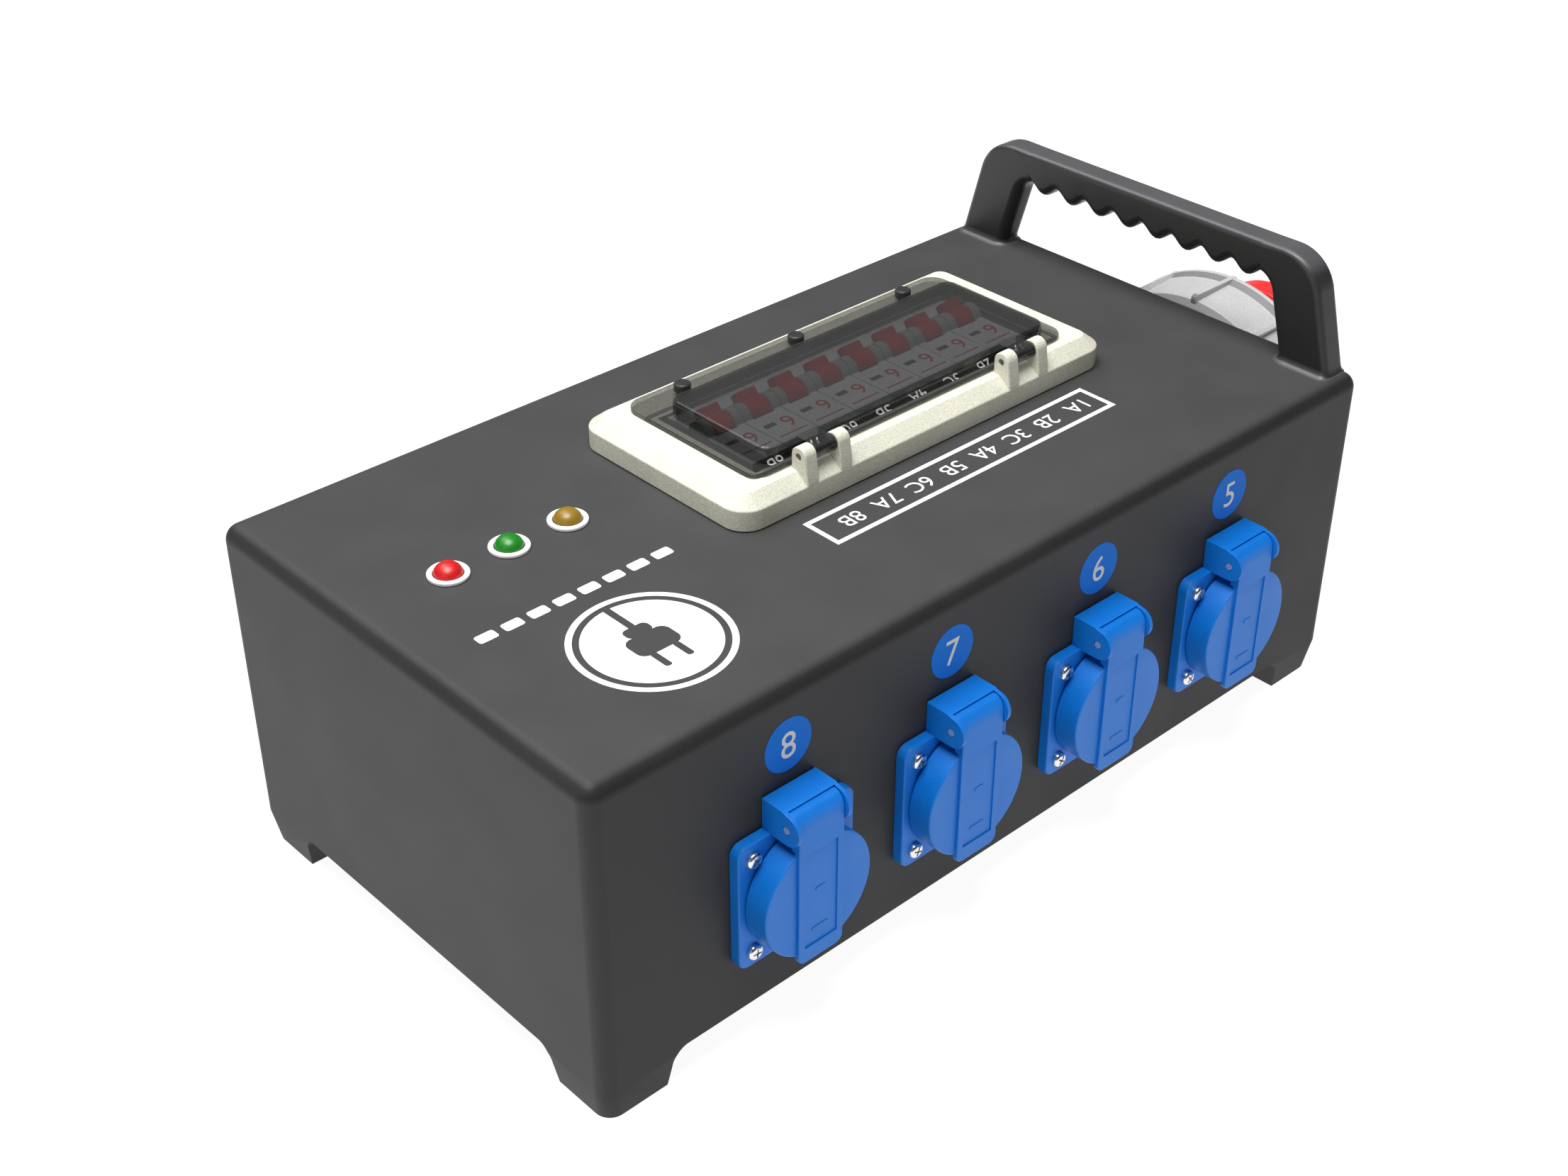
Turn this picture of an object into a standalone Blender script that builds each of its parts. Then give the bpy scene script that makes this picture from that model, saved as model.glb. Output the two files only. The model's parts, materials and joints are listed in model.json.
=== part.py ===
"""Portable power distribution box.

A moulded case on four corner feet carries a breaker window on top, four lidded sockets along each long
side, three indicator lamps, a carry handle and an industrial plug inlet on one end.

Run it with: blender --background --python part.py
Units are metres and +Z is up. The case stands on z = 0, and +X points to the handle and the inlet.
Inside the script, places are measured from the middle of the case's top face, where an empty stands.
"""

import math

import bmesh
import bpy
from mathutils import Euler, Matrix, Vector

NAME = "power_distribution_box"
GAP = 0.0003  # between two pieces that rest on each other
THROUGH = 0.002  # how far a cutter runs past what it cuts

# Case
CASE_LENGTH = 0.376
CASE_WIDTH = 0.200
CASE_HEIGHT = 0.135
CASE_SHIFT = -0.044  # of the case's middle along X, so that the whole object is centred on the origin
CASE_EDGE = 0.006
CASE_WALL = 0.003
BODY_HEIGHT = 0.120  # from the top face to the edge between the feet
TAPER_HEIGHT = 0.0128  # of the feet's narrowing outer faces
FOOT_TAPER = 0.002
FOOT_LENGTH = 0.0265  # of a foot's underside, from the end of the case
FOOT_FILLET = 0.0064
BASE_PLATE = 0.003

# Handle, across the case near its +X end
HANDLE_X = 0.1785
HANDLE_DEPTH = 0.012
HANDLE_HEIGHT = 0.045
HANDLE_OUTER = (0.0943, 0.27)  # half-width at the top face, and its lean inward per metre of height
HANDLE_INNER = (0.0711, 0.29)
HANDLE_OUTER_CORNER = 0.018
HANDLE_INNER_CORNER = 0.008
GRIP_PITCH = 0.0147  # between finger ridges, eight in all
GRIP_VALLEY = 0.0322
GRIP_DEPTH = 0.0044
HANDLE_EDGE = 0.0036
HANDLE_FLARE = 0.003  # radius of the fillet round each foot
FLARE_OUTWARD = 0.35  # of that on the two sides that meet the case's rounded edges

# Breaker window
WINDOW_X = 0.029
WINDOW_Y = 0.0154
WINDOW_SIZE = (0.1865, 0.0882)
WINDOW_CORNER = 0.0095
WINDOW_SIDE = 0.00815
WINDOW_CHAMFER = 0.0056
WINDOW_TOP = 0.01255
OPENING_X = (-0.0460, 0.1018)
OPENING_Y = (-0.0150, 0.0368)
FLANGE_X = (-0.0506, 0.1085)
FLANGE_Y = (-0.0197, 0.0506)
FLANGE_Z = (0.01285, 0.0146)
FLANGE_CORNER = 0.007
DOME_X = (-0.0434, 0.0998)
DOME_Y = (-0.0170, 0.0345)
DOME_TOP = 0.0211
DOME_WALL = 0.0010
DOME_CORNER = 0.005
DOME_EDGE = 0.0016
GASKET_WIDTH = 0.0016
GASKET_HEIGHT = 0.0012

# Window hinge: two knuckles on an axis along X
HINGE_Y = -0.0239
HINGE_Z = 0.0180
HINGE_XS = (-0.0238, 0.0778)  # middles of the knuckles
EAR_REACH = 0.0107  # from a knuckle's middle to its ears' outer faces
EAR_THICK = 0.0055
EAR_RADIUS = 0.0036
LUG_RADIUS = 0.0031
HINGE_PIN = 0.0011
STUD_XS = (-0.0285, 0.0275, 0.0845)
STUD_Y = 0.0436
STUD_RADIUS = 0.0032
STUD_TOP = 0.0182

# Breakers
BREAKERS = 8
BREAKER_ROW_X = 0.0282  # middle of the row
BREAKER_PITCH = 0.0176
BREAKER_WIDTH = 0.0173
BREAKER_FACE_Z = 0.0120
BREAKER_FACE_Y = (-0.0089, 0.0361)
BREAKER_BODY_Y = (-0.0274, 0.0546)
BREAKER_STEP_Z = -0.0050
BREAKER_BACK_Z = -0.0580
LEVER_Y = 0.0195
LEVER_Z = 0.0110
LEVER_HUB = 0.0053
LEVER_TIP = 0.0086
LEVER_WIDTH = 0.0092
LEVER_THICK = 0.0045
LEVER_LEAN = math.radians(45)
LEVER_SLOT = 0.0100
RAIL_X = (-0.062, 0.112)

# Lamps
LAMPS = (("red", -0.1493), ("green", -0.1246), ("amber", -0.1000))
LAMP_Y = 0.0203
BEZEL_RADIUS = 0.0072
BEZEL_TOP = 0.0014
BEZEL_BARREL = 0.0060
LENS_RADIUS = 0.0050
LENS_TOP = 0.0049

# Sockets, four on each long side
SOCKET_XS = (0.110, 0.0367, -0.0367, -0.110)
SOCKET_Z = -0.0736
SOCKET_FLANGE = 0.050
SOCKET_FLANGE_TOP = 0.0043
SOCKET_CORNER = 0.004
SOCKET_BODY = 0.0215
SOCKET_WELL = 0.0194
SOCKET_RIM = 0.0203
SOCKET_RIM_TOP = 0.0057
SOCKET_WELL_FLOOR = -0.0118
SOCKET_BACK = -0.030
CONTACT_RADIUS = 0.0027
CONTACT_OFFSET = 0.0095
SOCKET_HINGE_UP = 0.0304  # hinge axis above the flange's middle
SOCKET_HINGE_OUT = 0.0115  # and out from the case's side
SOCKET_EAR = 0.0058
SOCKET_EAR_THICK = 0.0016
BLOCK_WIDTH = 0.023
BLOCK_TOP = 0.0369
BLOCK_OUT = 0.0109
BARREL_RADIUS = 0.0056
LID_RADIUS = 0.0229
LID_SKIRT = 0.0211
LID_BACK = 0.0050
LID_FRONT = 0.0145
LID_INSIDE = 0.0129
STRAP_WIDTH = 0.0194
STRAP_FRONT = 0.0156
STRAP_BACK = 0.0134
STRAP_END = -0.0244
PANEL_WIDTH = 0.0141
PANEL_Y = (-0.0185, 0.0202)
PANEL_DEPTH = 0.0005

# Inlet on the +X end
INLET_Z = -0.073
INLET_FLANGE = 0.090
INLET_FLANGE_THICK = 0.0065
INLET_NECK = 0.0423
INLET_NECK_X = 0.0200  # distances along the inlet's axis are from the end face
INLET_BACK_X = -0.034
INLET_BARREL = 0.0345
RING_X = (0.0220, 0.0545)
RING_BORE = 0.0430
RING_RADIUS = 0.0590
RING_LIP = 0.0608
RING_RIBS = 12
SHROUD_START_X = 0.0203
SHROUD_END_X = 0.088
SHROUD_COLLAR_X = 0.073
SHROUD_RADIUS = 0.0385
SHROUD_COLLAR = 0.0422
SHROUD_BORE = 0.0350
SHROUD_SHOULDER = 0.0460
NOSE_X = (0.0760, 0.0870)  # a raised catch on top of the shroud's collar
NOSE_RADIUS = 0.0315
NOSE_UP = 0.0154
INSULATOR_X = 0.050
INLET_PINS = 5
INLET_PIN_CIRCLE = 0.0215
INLET_PIN_RADIUS = 0.0040
INLET_PIN_END_X = 0.080

COLOURS = {
    # name: (colour, roughness, metallic)
    "case_grey": ((0.060, 0.060, 0.062), 0.55, 0.0),
    "handle_black": ((0.018, 0.018, 0.019), 0.45, 0.0),
    "cream": ((0.80, 0.79, 0.64), 0.45, 0.0),
    "smoky": ((0.10, 0.10, 0.10), 0.15, 0.0),
    "black": ((0.015, 0.015, 0.015), 0.50, 0.0),
    "rubber": ((0.300, 0.300, 0.280), 0.80, 0.0),
    "steel": ((0.60, 0.60, 0.60), 0.25, 1.0),
    "brass": ((0.75, 0.58, 0.28), 0.25, 1.0),
    "breaker_grey": ((0.55, 0.55, 0.56), 0.50, 0.0),
    "lever_red": ((0.55, 0.03, 0.04), 0.40, 0.0),
    "white": ((0.85, 0.85, 0.85), 0.35, 0.0),
    "lamp_red": ((0.80, 0.02, 0.03), 0.20, 0.0),
    "lamp_green": ((0.02, 0.35, 0.03), 0.20, 0.0),
    "lamp_amber": ((0.40, 0.27, 0.03), 0.20, 0.0),
    "socket_blue": ((0.010, 0.130, 0.480), 0.50, 0.0),
    "ring_grey": ((0.55, 0.56, 0.57), 0.45, 0.0),
    "inlet_red": ((0.80, 0.04, 0.04), 0.40, 0.0),
    "sheet_metal": ((0.45, 0.45, 0.45), 0.35, 1.0),
}

TURN_ALONG = {
    # Takes a prism's length, or a turned shape's axis, from Z to the axis named.
    "x": Matrix(((0, 0, 1, 0), (1, 0, 0, 0), (0, 1, 0, 0), (0, 0, 0, 1))),
    "y": Matrix.Rotation(math.radians(90), 4, "X"),
    "z": Matrix.Identity(4),
}


def clear_scene():
    for obj in list(bpy.data.objects):
        bpy.data.objects.remove(obj)


def new_collection(name):
    collection = bpy.data.collections.new(name)
    bpy.context.scene.collection.children.link(collection)
    return collection


def material(key):
    if key in bpy.data.materials:
        return bpy.data.materials[key]
    colour, roughness, metallic = COLOURS[key]
    made = bpy.data.materials.new(key)
    made.use_nodes = True
    shader = made.node_tree.nodes["Principled BSDF"]
    shader.inputs["Base Color"].default_value = (*colour, 1)
    shader.inputs["Roughness"].default_value = roughness
    shader.inputs["Metallic"].default_value = metallic
    made.diffuse_color = (*colour, 1)
    return made


# Shapes: each of these returns a bmesh


def block(x, y, z):
    """A box between three pairs of limits."""
    shape = bmesh.new()
    bmesh.ops.create_cube(shape, size=1)
    lows = Vector((x[0], y[0], z[0]))
    highs = Vector((x[1], y[1], z[1]))
    for vert in shape.verts:
        vert.co = Vector(
            low + (co + 0.5) * (high - low) for low, high, co in zip(lows, highs, vert.co)
        )
    return shape


def edges_along(shape, axis):
    """The edges parallel to an axis, which is 0, 1 or 2."""
    found = []
    for edge in shape.edges:
        run = edge.verts[1].co - edge.verts[0].co
        if abs(run[axis]) > 0.99 * run.length:
            found.append(edge)
    return found


def edges_at(shape, axis, value):
    """The edges that lie in a plane across an axis."""
    return [
        edge for edge in shape.edges if all(abs(v.co[axis] - value) < 1e-6 for v in edge.verts)
    ]


def round_edges(shape, edges, radius, segments):
    bmesh.ops.bevel(
        shape, geom=edges, offset=radius, segments=segments, profile=0.5, affect="EDGES"
    )
    return shape


def slab(x, y, z, corner, segments=4):
    """A box with its upright edges rounded."""
    shape = block(x, y, z)
    return round_edges(shape, edges_along(shape, 2), corner, segments)


def cylinder(radius, low, high, steps=24, along="z"):
    shape = bmesh.new()
    bmesh.ops.create_cone(
        shape, cap_ends=True, segments=steps, radius1=radius, radius2=radius, depth=high - low
    )
    bmesh.ops.translate(shape, verts=shape.verts, vec=(0, 0, (low + high) / 2))
    shape.transform(TURN_ALONG[along])
    return shape


def from_object(guide):
    """The evaluated mesh of a temporary object, which is then removed."""
    bpy.context.scene.collection.objects.link(guide)
    bpy.context.view_layer.update()
    graph = bpy.context.evaluated_depsgraph_get()
    mesh = bpy.data.meshes.new_from_object(guide.evaluated_get(graph))
    shape = bmesh.new()
    shape.from_mesh(mesh)
    bpy.data.objects.remove(guide)
    bpy.data.meshes.remove(mesh)
    return shape


def prism(points, low, high, along="z"):
    """A prism on a flat outline. Along X the outline is in (y, z), and along Y it is in (x, z)."""
    scale = 1000  # the curve is filled in millimetres, where its tolerances are small
    curve = bpy.data.curves.new("outline", "CURVE")
    curve.dimensions = "2D"
    curve.fill_mode = "BOTH"
    curve.extrude = scale * (high - low) / 2
    spline = curve.splines.new("POLY")
    spline.points.add(len(points) - 1)
    for point, (across, up) in zip(spline.points, points):
        point.co = (scale * across, scale * up, 0, 1)
    spline.use_cyclic_u = True
    shape = from_object(bpy.data.objects.new("outline", curve))
    bmesh.ops.remove_doubles(shape, verts=shape.verts, dist=1e-4)
    bmesh.ops.dissolve_limit(
        shape, angle_limit=math.radians(0.5), verts=shape.verts, edges=shape.edges
    )
    bmesh.ops.recalc_face_normals(shape, faces=shape.faces)
    shape.transform(Matrix.Scale(1 / scale, 4))
    middle = (low + high) / 2
    bmesh.ops.translate(shape, verts=shape.verts, vec=(0, 0, -middle if along == "y" else middle))
    shape.transform(TURN_ALONG[along])
    return shape


def turned(profile, steps=32, along="z", closed=False):
    """A turned solid. The profile's (radius, height) points run down its outer side."""
    shape = bmesh.new()
    verts = [shape.verts.new((radius, 0, height)) for radius, height in profile]
    for first, second in zip(verts, verts[1:]):
        shape.edges.new((first, second))
    if closed:
        shape.edges.new((verts[-1], verts[0]))
    mesh = bpy.data.meshes.new("profile")
    shape.to_mesh(mesh)
    guide = bpy.data.objects.new("profile", mesh)
    screw = guide.modifiers.new("turn", "SCREW")
    screw.steps = steps
    screw.render_steps = steps
    screw.use_merge_vertices = True
    screw.merge_threshold = 1e-6
    solid = from_object(guide)
    solid.transform(TURN_ALONG[along])
    return solid


def arc(centre, radius, start, end, steps):
    """Points on a circle, or on an ellipse where radius is a pair, between two angles in degrees."""
    wide, high = radius if isinstance(radius, tuple) else (radius, radius)
    angles = [math.radians(start + (end - start) * i / steps) for i in range(steps + 1)]
    return [(centre[0] + wide * math.cos(a), centre[1] + high * math.sin(a)) for a in angles]


def several(shapes):
    """One mesh that holds several separate shapes, for use as a cutter or as added lumps."""
    whole = bmesh.new()
    for shape in shapes:
        mesh = bpy.data.meshes.new("piece")
        shape.to_mesh(mesh)
        whole.from_mesh(mesh)
        bpy.data.meshes.remove(mesh)
    return whole


def moved(shape, x=0, y=0, z=0):
    bmesh.ops.translate(shape, verts=shape.verts, vec=(x, y, z))
    return shape


# Objects


def to_object(name, shape, collection, at=(0, 0, 0), turn=(0, 0, 0)):
    mesh = bpy.data.meshes.new(name)
    shape.to_mesh(mesh)
    obj = bpy.data.objects.new(name, mesh)
    collection.objects.link(obj)
    obj.parent = bpy.data.objects["top_centre"]
    obj.location = at
    obj.rotation_euler = Euler([math.radians(angle) for angle in turn])
    return obj


def add_part(name, shape, look, at=(0, 0, 0), turn=(0, 0, 0)):
    part = to_object(name, shape, bpy.data.collections[NAME], at, turn)
    part.data.materials.append(material(look))
    return part


def boolean(part, shape, operation="DIFFERENCE"):
    """Cuts a shape from a part, or joins it on. Both are in the part's own frame."""
    name = f"{part.name}_tool_{len(part.modifiers)}"
    tool = to_object(name, shape, bpy.data.collections["tools"])
    tool.parent = part
    tool.hide_render = True
    tool.display_type = "WIRE"
    modifier = part.modifiers.new(operation.lower(), "BOOLEAN")
    modifier.operation = operation
    modifier.object = tool


def settle(part):
    """Turns a part's modifiers into its mesh, shaded smooth with sharp edges left sharp."""
    bpy.context.view_layer.update()
    graph = bpy.context.evaluated_depsgraph_get()
    mesh = bpy.data.meshes.new_from_object(part.evaluated_get(graph))
    part.modifiers.clear()
    part.data = mesh
    mesh.shade_smooth()
    mesh.set_sharp_from_angle(angle=math.radians(35))


def add_copy(name, first, at, turn=(0, 0, 0)):
    copy = bpy.data.objects.new(name, first.data)
    bpy.data.collections[NAME].objects.link(copy)
    copy.parent = bpy.data.objects["top_centre"]
    copy.location = at
    copy.rotation_euler = Euler([math.radians(angle) for angle in turn])
    return copy


# Case


def case_outside(grow=0.0):
    """The outside of the case: a box whose last stretch narrows towards the feet's undersides."""
    half_x = CASE_LENGTH / 2 + grow
    half_y = CASE_WIDTH / 2 + grow
    shape = block((-half_x, half_x), (-half_y, half_y), (TAPER_HEIGHT - CASE_HEIGHT, grow))
    shape.faces.ensure_lookup_table()
    bottom = min(shape.faces, key=lambda face: face.calc_center_median().z)
    foot = bmesh.ops.extrude_discrete_faces(shape, faces=[bottom])["faces"][0]
    for vert in foot.verts:
        vert.co.x *= 1 - FOOT_TAPER / half_x
        vert.co.y *= 1 - FOOT_TAPER / half_y
        vert.co.z = -CASE_HEIGHT
    upright = [
        edge for edge in shape.edges if abs(edge.verts[0].co.z - edge.verts[1].co.z) > 1e-4
    ]
    top = edges_at(shape, 2, grow)
    return round_edges(shape, upright + top, CASE_EDGE + grow, 4)


def foot_gap(half_length):
    """The outline of the space between two feet, in (along, z): its upper corners are filleted."""
    edge = half_length - FOOT_LENGTH
    top = -BODY_HEIGHT
    narrow = 0.0016  # a foot's inner face leans
    centre = (edge - narrow - FOOT_FILLET, top - FOOT_FILLET)
    right = [(edge, -CASE_HEIGHT - THROUGH)] + arc(centre, FOOT_FILLET, 0, 90, 5)
    left = [(-across, up) for across, up in reversed(right)]
    return right + left


def case_openings():
    """Cutters for the sockets, the window, the lamps and the inlet."""
    half_y = CASE_WIDTH / 2
    half_x = CASE_LENGTH / 2
    reach = CASE_WALL + THROUGH
    tools = []
    half_depth = (reach + THROUGH) / 2
    for x in SOCKET_XS:
        for side in (-1, 1):
            hole = cylinder(SOCKET_BODY + 0.0005, -half_depth, half_depth, 16, "y")
            tools.append(moved(hole, x, side * (half_y + THROUGH - half_depth), SOCKET_Z))
    for _, x in LAMPS:
        hole = cylinder(BEZEL_BARREL + 2 * GAP, -reach, THROUGH, 12)
        tools.append(moved(hole, x, LAMP_Y, 0))
    tools.append(block(OPENING_X, OPENING_Y, (-reach, THROUGH)))
    inlet = cylinder(INLET_BARREL + 0.001, half_x - reach, half_x + THROUGH, 32, "x")
    tools.append(moved(inlet, 0, 0, INLET_Z))
    return several(tools)


def make_case():
    case = add_part("case_shell", case_outside(), "case_grey")
    inside_x = CASE_LENGTH / 2 - CASE_WALL
    inside_y = CASE_WIDTH / 2 - CASE_WALL
    ledge = -BODY_HEIGHT - 0.0005
    cavity = slab(
        (-inside_x, inside_x), (-inside_y, inside_y), (ledge, -CASE_WALL), CASE_EDGE - CASE_WALL, 2
    )
    boolean(case, cavity)
    reach_x = CASE_LENGTH / 2 + THROUGH
    reach_y = CASE_WIDTH / 2 + THROUGH
    boolean(case, prism(foot_gap(CASE_LENGTH / 2), -reach_y, reach_y, "y"))
    boolean(case, prism(foot_gap(CASE_WIDTH / 2), -reach_x, reach_x, "x"))
    boolean(case, case_openings())
    settle(case)

    edge = GAP + 0.0003
    plate_z = -BODY_HEIGHT + 0.0003
    plate = slab(
        (-inside_x + edge, inside_x - edge),
        (-inside_y + edge, inside_y - edge),
        (plate_z, plate_z + BASE_PLATE),
        CASE_EDGE - CASE_WALL,
        2,
    )
    settle(add_part("base_plate", plate, "case_grey"))


# Handle


def handle_lines():
    """Pairs of (y, z) points on the handle's outer and inner outline, from the +Y post to the middle."""
    outer_y, outer_lean = HANDLE_OUTER
    inner_y, inner_lean = HANDLE_INNER

    def corner(base, lean, level, radius, count):
        """A fillet between a leaning line and a level one above it, with its centre."""
        angle = math.atan(lean)
        centre_z = level - radius
        centre_y = base - lean * centre_z - radius / math.cos(angle)
        start = math.degrees(angle)
        return arc((centre_y, centre_z), radius, start, 90, count)

    steps = 5
    outer = corner(outer_y, outer_lean, HANDLE_HEIGHT, HANDLE_OUTER_CORNER, steps)
    inner = corner(inner_y, inner_lean, GRIP_VALLEY, HANDLE_INNER_CORNER, steps)
    posts = []
    for part in (-2, 0, 0.2, 0.55, 1):
        height = part * HANDLE_FLARE
        posts.append(((outer_y - outer_lean * height, height), (inner_y - inner_lean * height, height)))
    bar = []
    ridges = 4
    phases = 4
    for i in range(ridges * phases, -1, -1):
        y = i * GRIP_PITCH / phases
        wave = 0.5 - 0.5 * math.cos(2 * math.pi * y / GRIP_PITCH)
        bar.append(((y, HANDLE_HEIGHT), (y, GRIP_VALLEY - GRIP_DEPTH * wave)))
    return posts + list(zip(outer, inner)) + bar


def handle_section(outer, inner):
    """One section across the handle: a rounded box between an outer and an inner point."""
    outer = Vector((0, *outer))
    inner = Vector((0, *inner))
    run = (outer - inner).normalized()
    height = min(max(outer.z, 0), HANDLE_FLARE)
    flare = HANDLE_FLARE - math.sqrt(HANDLE_FLARE**2 - (HANDLE_FLARE - height) ** 2)
    half_x = HANDLE_DEPTH / 2 - HANDLE_EDGE
    half_r = (outer - inner).length / 2 - HANDLE_EDGE
    centre = (outer + inner) / 2
    corners = []
    for sign_x, sign_r, start in ((1, 1, 0), (-1, 1, 90), (-1, -1, 180), (1, -1, 270)):
        middle = (sign_x * half_x, sign_r * half_r)
        reach = [flare * (FLARE_OUTWARD if sign > 0 else 1) for sign in (sign_x, sign_r)]
        radius = (HANDLE_EDGE + reach[0], HANDLE_EDGE + reach[1])
        for x, r in arc(middle, radius, start, start + 90, 2):
            corners.append(centre + r * run + Vector((HANDLE_X + x, 0, 0)))
    return corners


def make_handle():
    """A loft through its sections, cut at its foot to the case's rounded edge."""
    half = [handle_section(outer, inner) for outer, inner in handle_lines()]
    mirrored = [
        [Vector((p.x, -p.y, p.z)) for p in section] for section in reversed(half[:-1])
    ]
    shape = bmesh.new()
    rings = [[shape.verts.new(point) for point in section] for section in half + mirrored]
    for first, second in zip(rings, rings[1:]):
        count = len(first)
        for i in range(count):
            j = (i + 1) % count
            shape.faces.new((first[i], first[j], second[j], second[i]))
    shape.faces.new(rings[0])
    shape.faces.new(rings[-1])
    bmesh.ops.remove_doubles(shape, verts=shape.verts, dist=1e-7)
    bmesh.ops.recalc_face_normals(shape, faces=shape.faces)
    handle = add_part("carry_handle", shape, "handle_black")
    boolean(handle, case_outside(GAP))
    settle(handle)


# Breaker window


def frame_ring(x, y, z, width, corner):
    """A flat rounded frame, whose outside is x by y."""
    outside = slab(x, y, z, corner, 3)
    inside = slab(
        (x[0] + width, x[1] - width),
        (y[0] + width, y[1] - width),
        (z[0] - THROUGH, z[1] + THROUGH),
        corner - width,
        3,
    )
    ring = to_object("frame", outside, bpy.data.collections["tools"])
    boolean(ring, inside)
    settle(ring)
    shape = bmesh.new()
    shape.from_mesh(ring.data)
    for tool in list(ring.children):
        bpy.data.objects.remove(tool)
    bpy.data.objects.remove(ring)
    return shape


def ear_outline():
    """A hinge ear in (y, z): it stands on the chamfered frame and ends round the pin."""
    front = WINDOW_Y - WINDOW_SIZE[1] / 2
    foot = [(HINGE_Y + EAR_RADIUS, WINDOW_TOP - 0.003), (HINGE_Y + EAR_RADIUS, HINGE_Z)]
    round_end = arc((HINGE_Y, HINGE_Z), EAR_RADIUS, 20, 170, 7)
    skirt = [(front, WINDOW_SIDE), (front, WINDOW_SIDE - 0.001), (front + 0.003, WINDOW_SIDE - 0.001)]
    return foot + round_end + skirt


def make_window_base():
    half_x = WINDOW_SIZE[0] / 2
    half_y = WINDOW_SIZE[1] / 2
    shape = slab(
        (WINDOW_X - half_x, WINDOW_X + half_x),
        (WINDOW_Y - half_y, WINDOW_Y + half_y),
        (GAP, WINDOW_SIDE),
        WINDOW_CORNER,
        5,
    )
    top = max(shape.faces, key=lambda face: face.calc_center_median().z)
    bmesh.ops.inset_region(shape, faces=[top], thickness=WINDOW_CHAMFER)
    top = max(shape.faces, key=lambda face: face.calc_area() * face.normal.z)
    for vert in top.verts:
        vert.co.z = WINDOW_TOP
    base = add_part("window_base", shape, "cream")
    ears = []
    for middle in HINGE_XS:
        outer = EAR_REACH
        inner = EAR_REACH - EAR_THICK
        ears.append(prism(ear_outline(), middle - outer, middle - inner, "x"))
        ears.append(prism(ear_outline(), middle + inner, middle + outer, "x"))
    boolean(base, several(ears), "UNION")
    boolean(base, block(OPENING_X, OPENING_Y, (-THROUGH, WINDOW_TOP + THROUGH)))
    bore = cylinder(HINGE_PIN + GAP, HINGE_XS[0] - 0.02, HINGE_XS[1] + 0.02, 10, "x")
    boolean(base, moved(bore, 0, HINGE_Y, HINGE_Z))
    groove_x, groove_y = gasket_limits(GAP)
    groove = frame_ring(
        groove_x,
        groove_y,
        (WINDOW_TOP - GASKET_HEIGHT - GAP, WINDOW_TOP + THROUGH),
        GASKET_WIDTH + 2 * GAP,
        0.003,
    )
    boolean(base, groove)
    holes = [cylinder(0.0019, WINDOW_TOP - 0.004, WINDOW_TOP + THROUGH, 12) for _ in STUD_XS]
    boolean(base, several([moved(hole, x, STUD_Y, 0) for hole, x in zip(holes, STUD_XS)]))
    settle(base)


def gasket_limits(grow=0.0):
    """The gasket's outside: it runs round the opening, under the lid's flange."""
    x = (OPENING_X[0] - 0.0040 - grow, OPENING_X[1] + 0.0045 + grow)
    y = (OPENING_Y[0] - 0.0032 - grow, OPENING_Y[1] + 0.0036 + grow)
    return x, y


def make_gasket():
    x, y = gasket_limits()
    z = (WINDOW_TOP - GASKET_HEIGHT, WINDOW_TOP)
    settle(add_part("window_gasket", frame_ring(x, y, z, GASKET_WIDTH, 0.003), "rubber"))


def lug_outline():
    """A lid lug in (y, z): round the pin, then level with the dome's top to its front wall."""
    back = DOME_Y[0] + DOME_WALL / 2
    barrel = arc((HINGE_Y, HINGE_Z), LUG_RADIUS, 90, 290, 9)
    return barrel + [(back, HINGE_Z - LUG_RADIUS + 0.0009), (back, HINGE_Z + LUG_RADIUS)]


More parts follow.
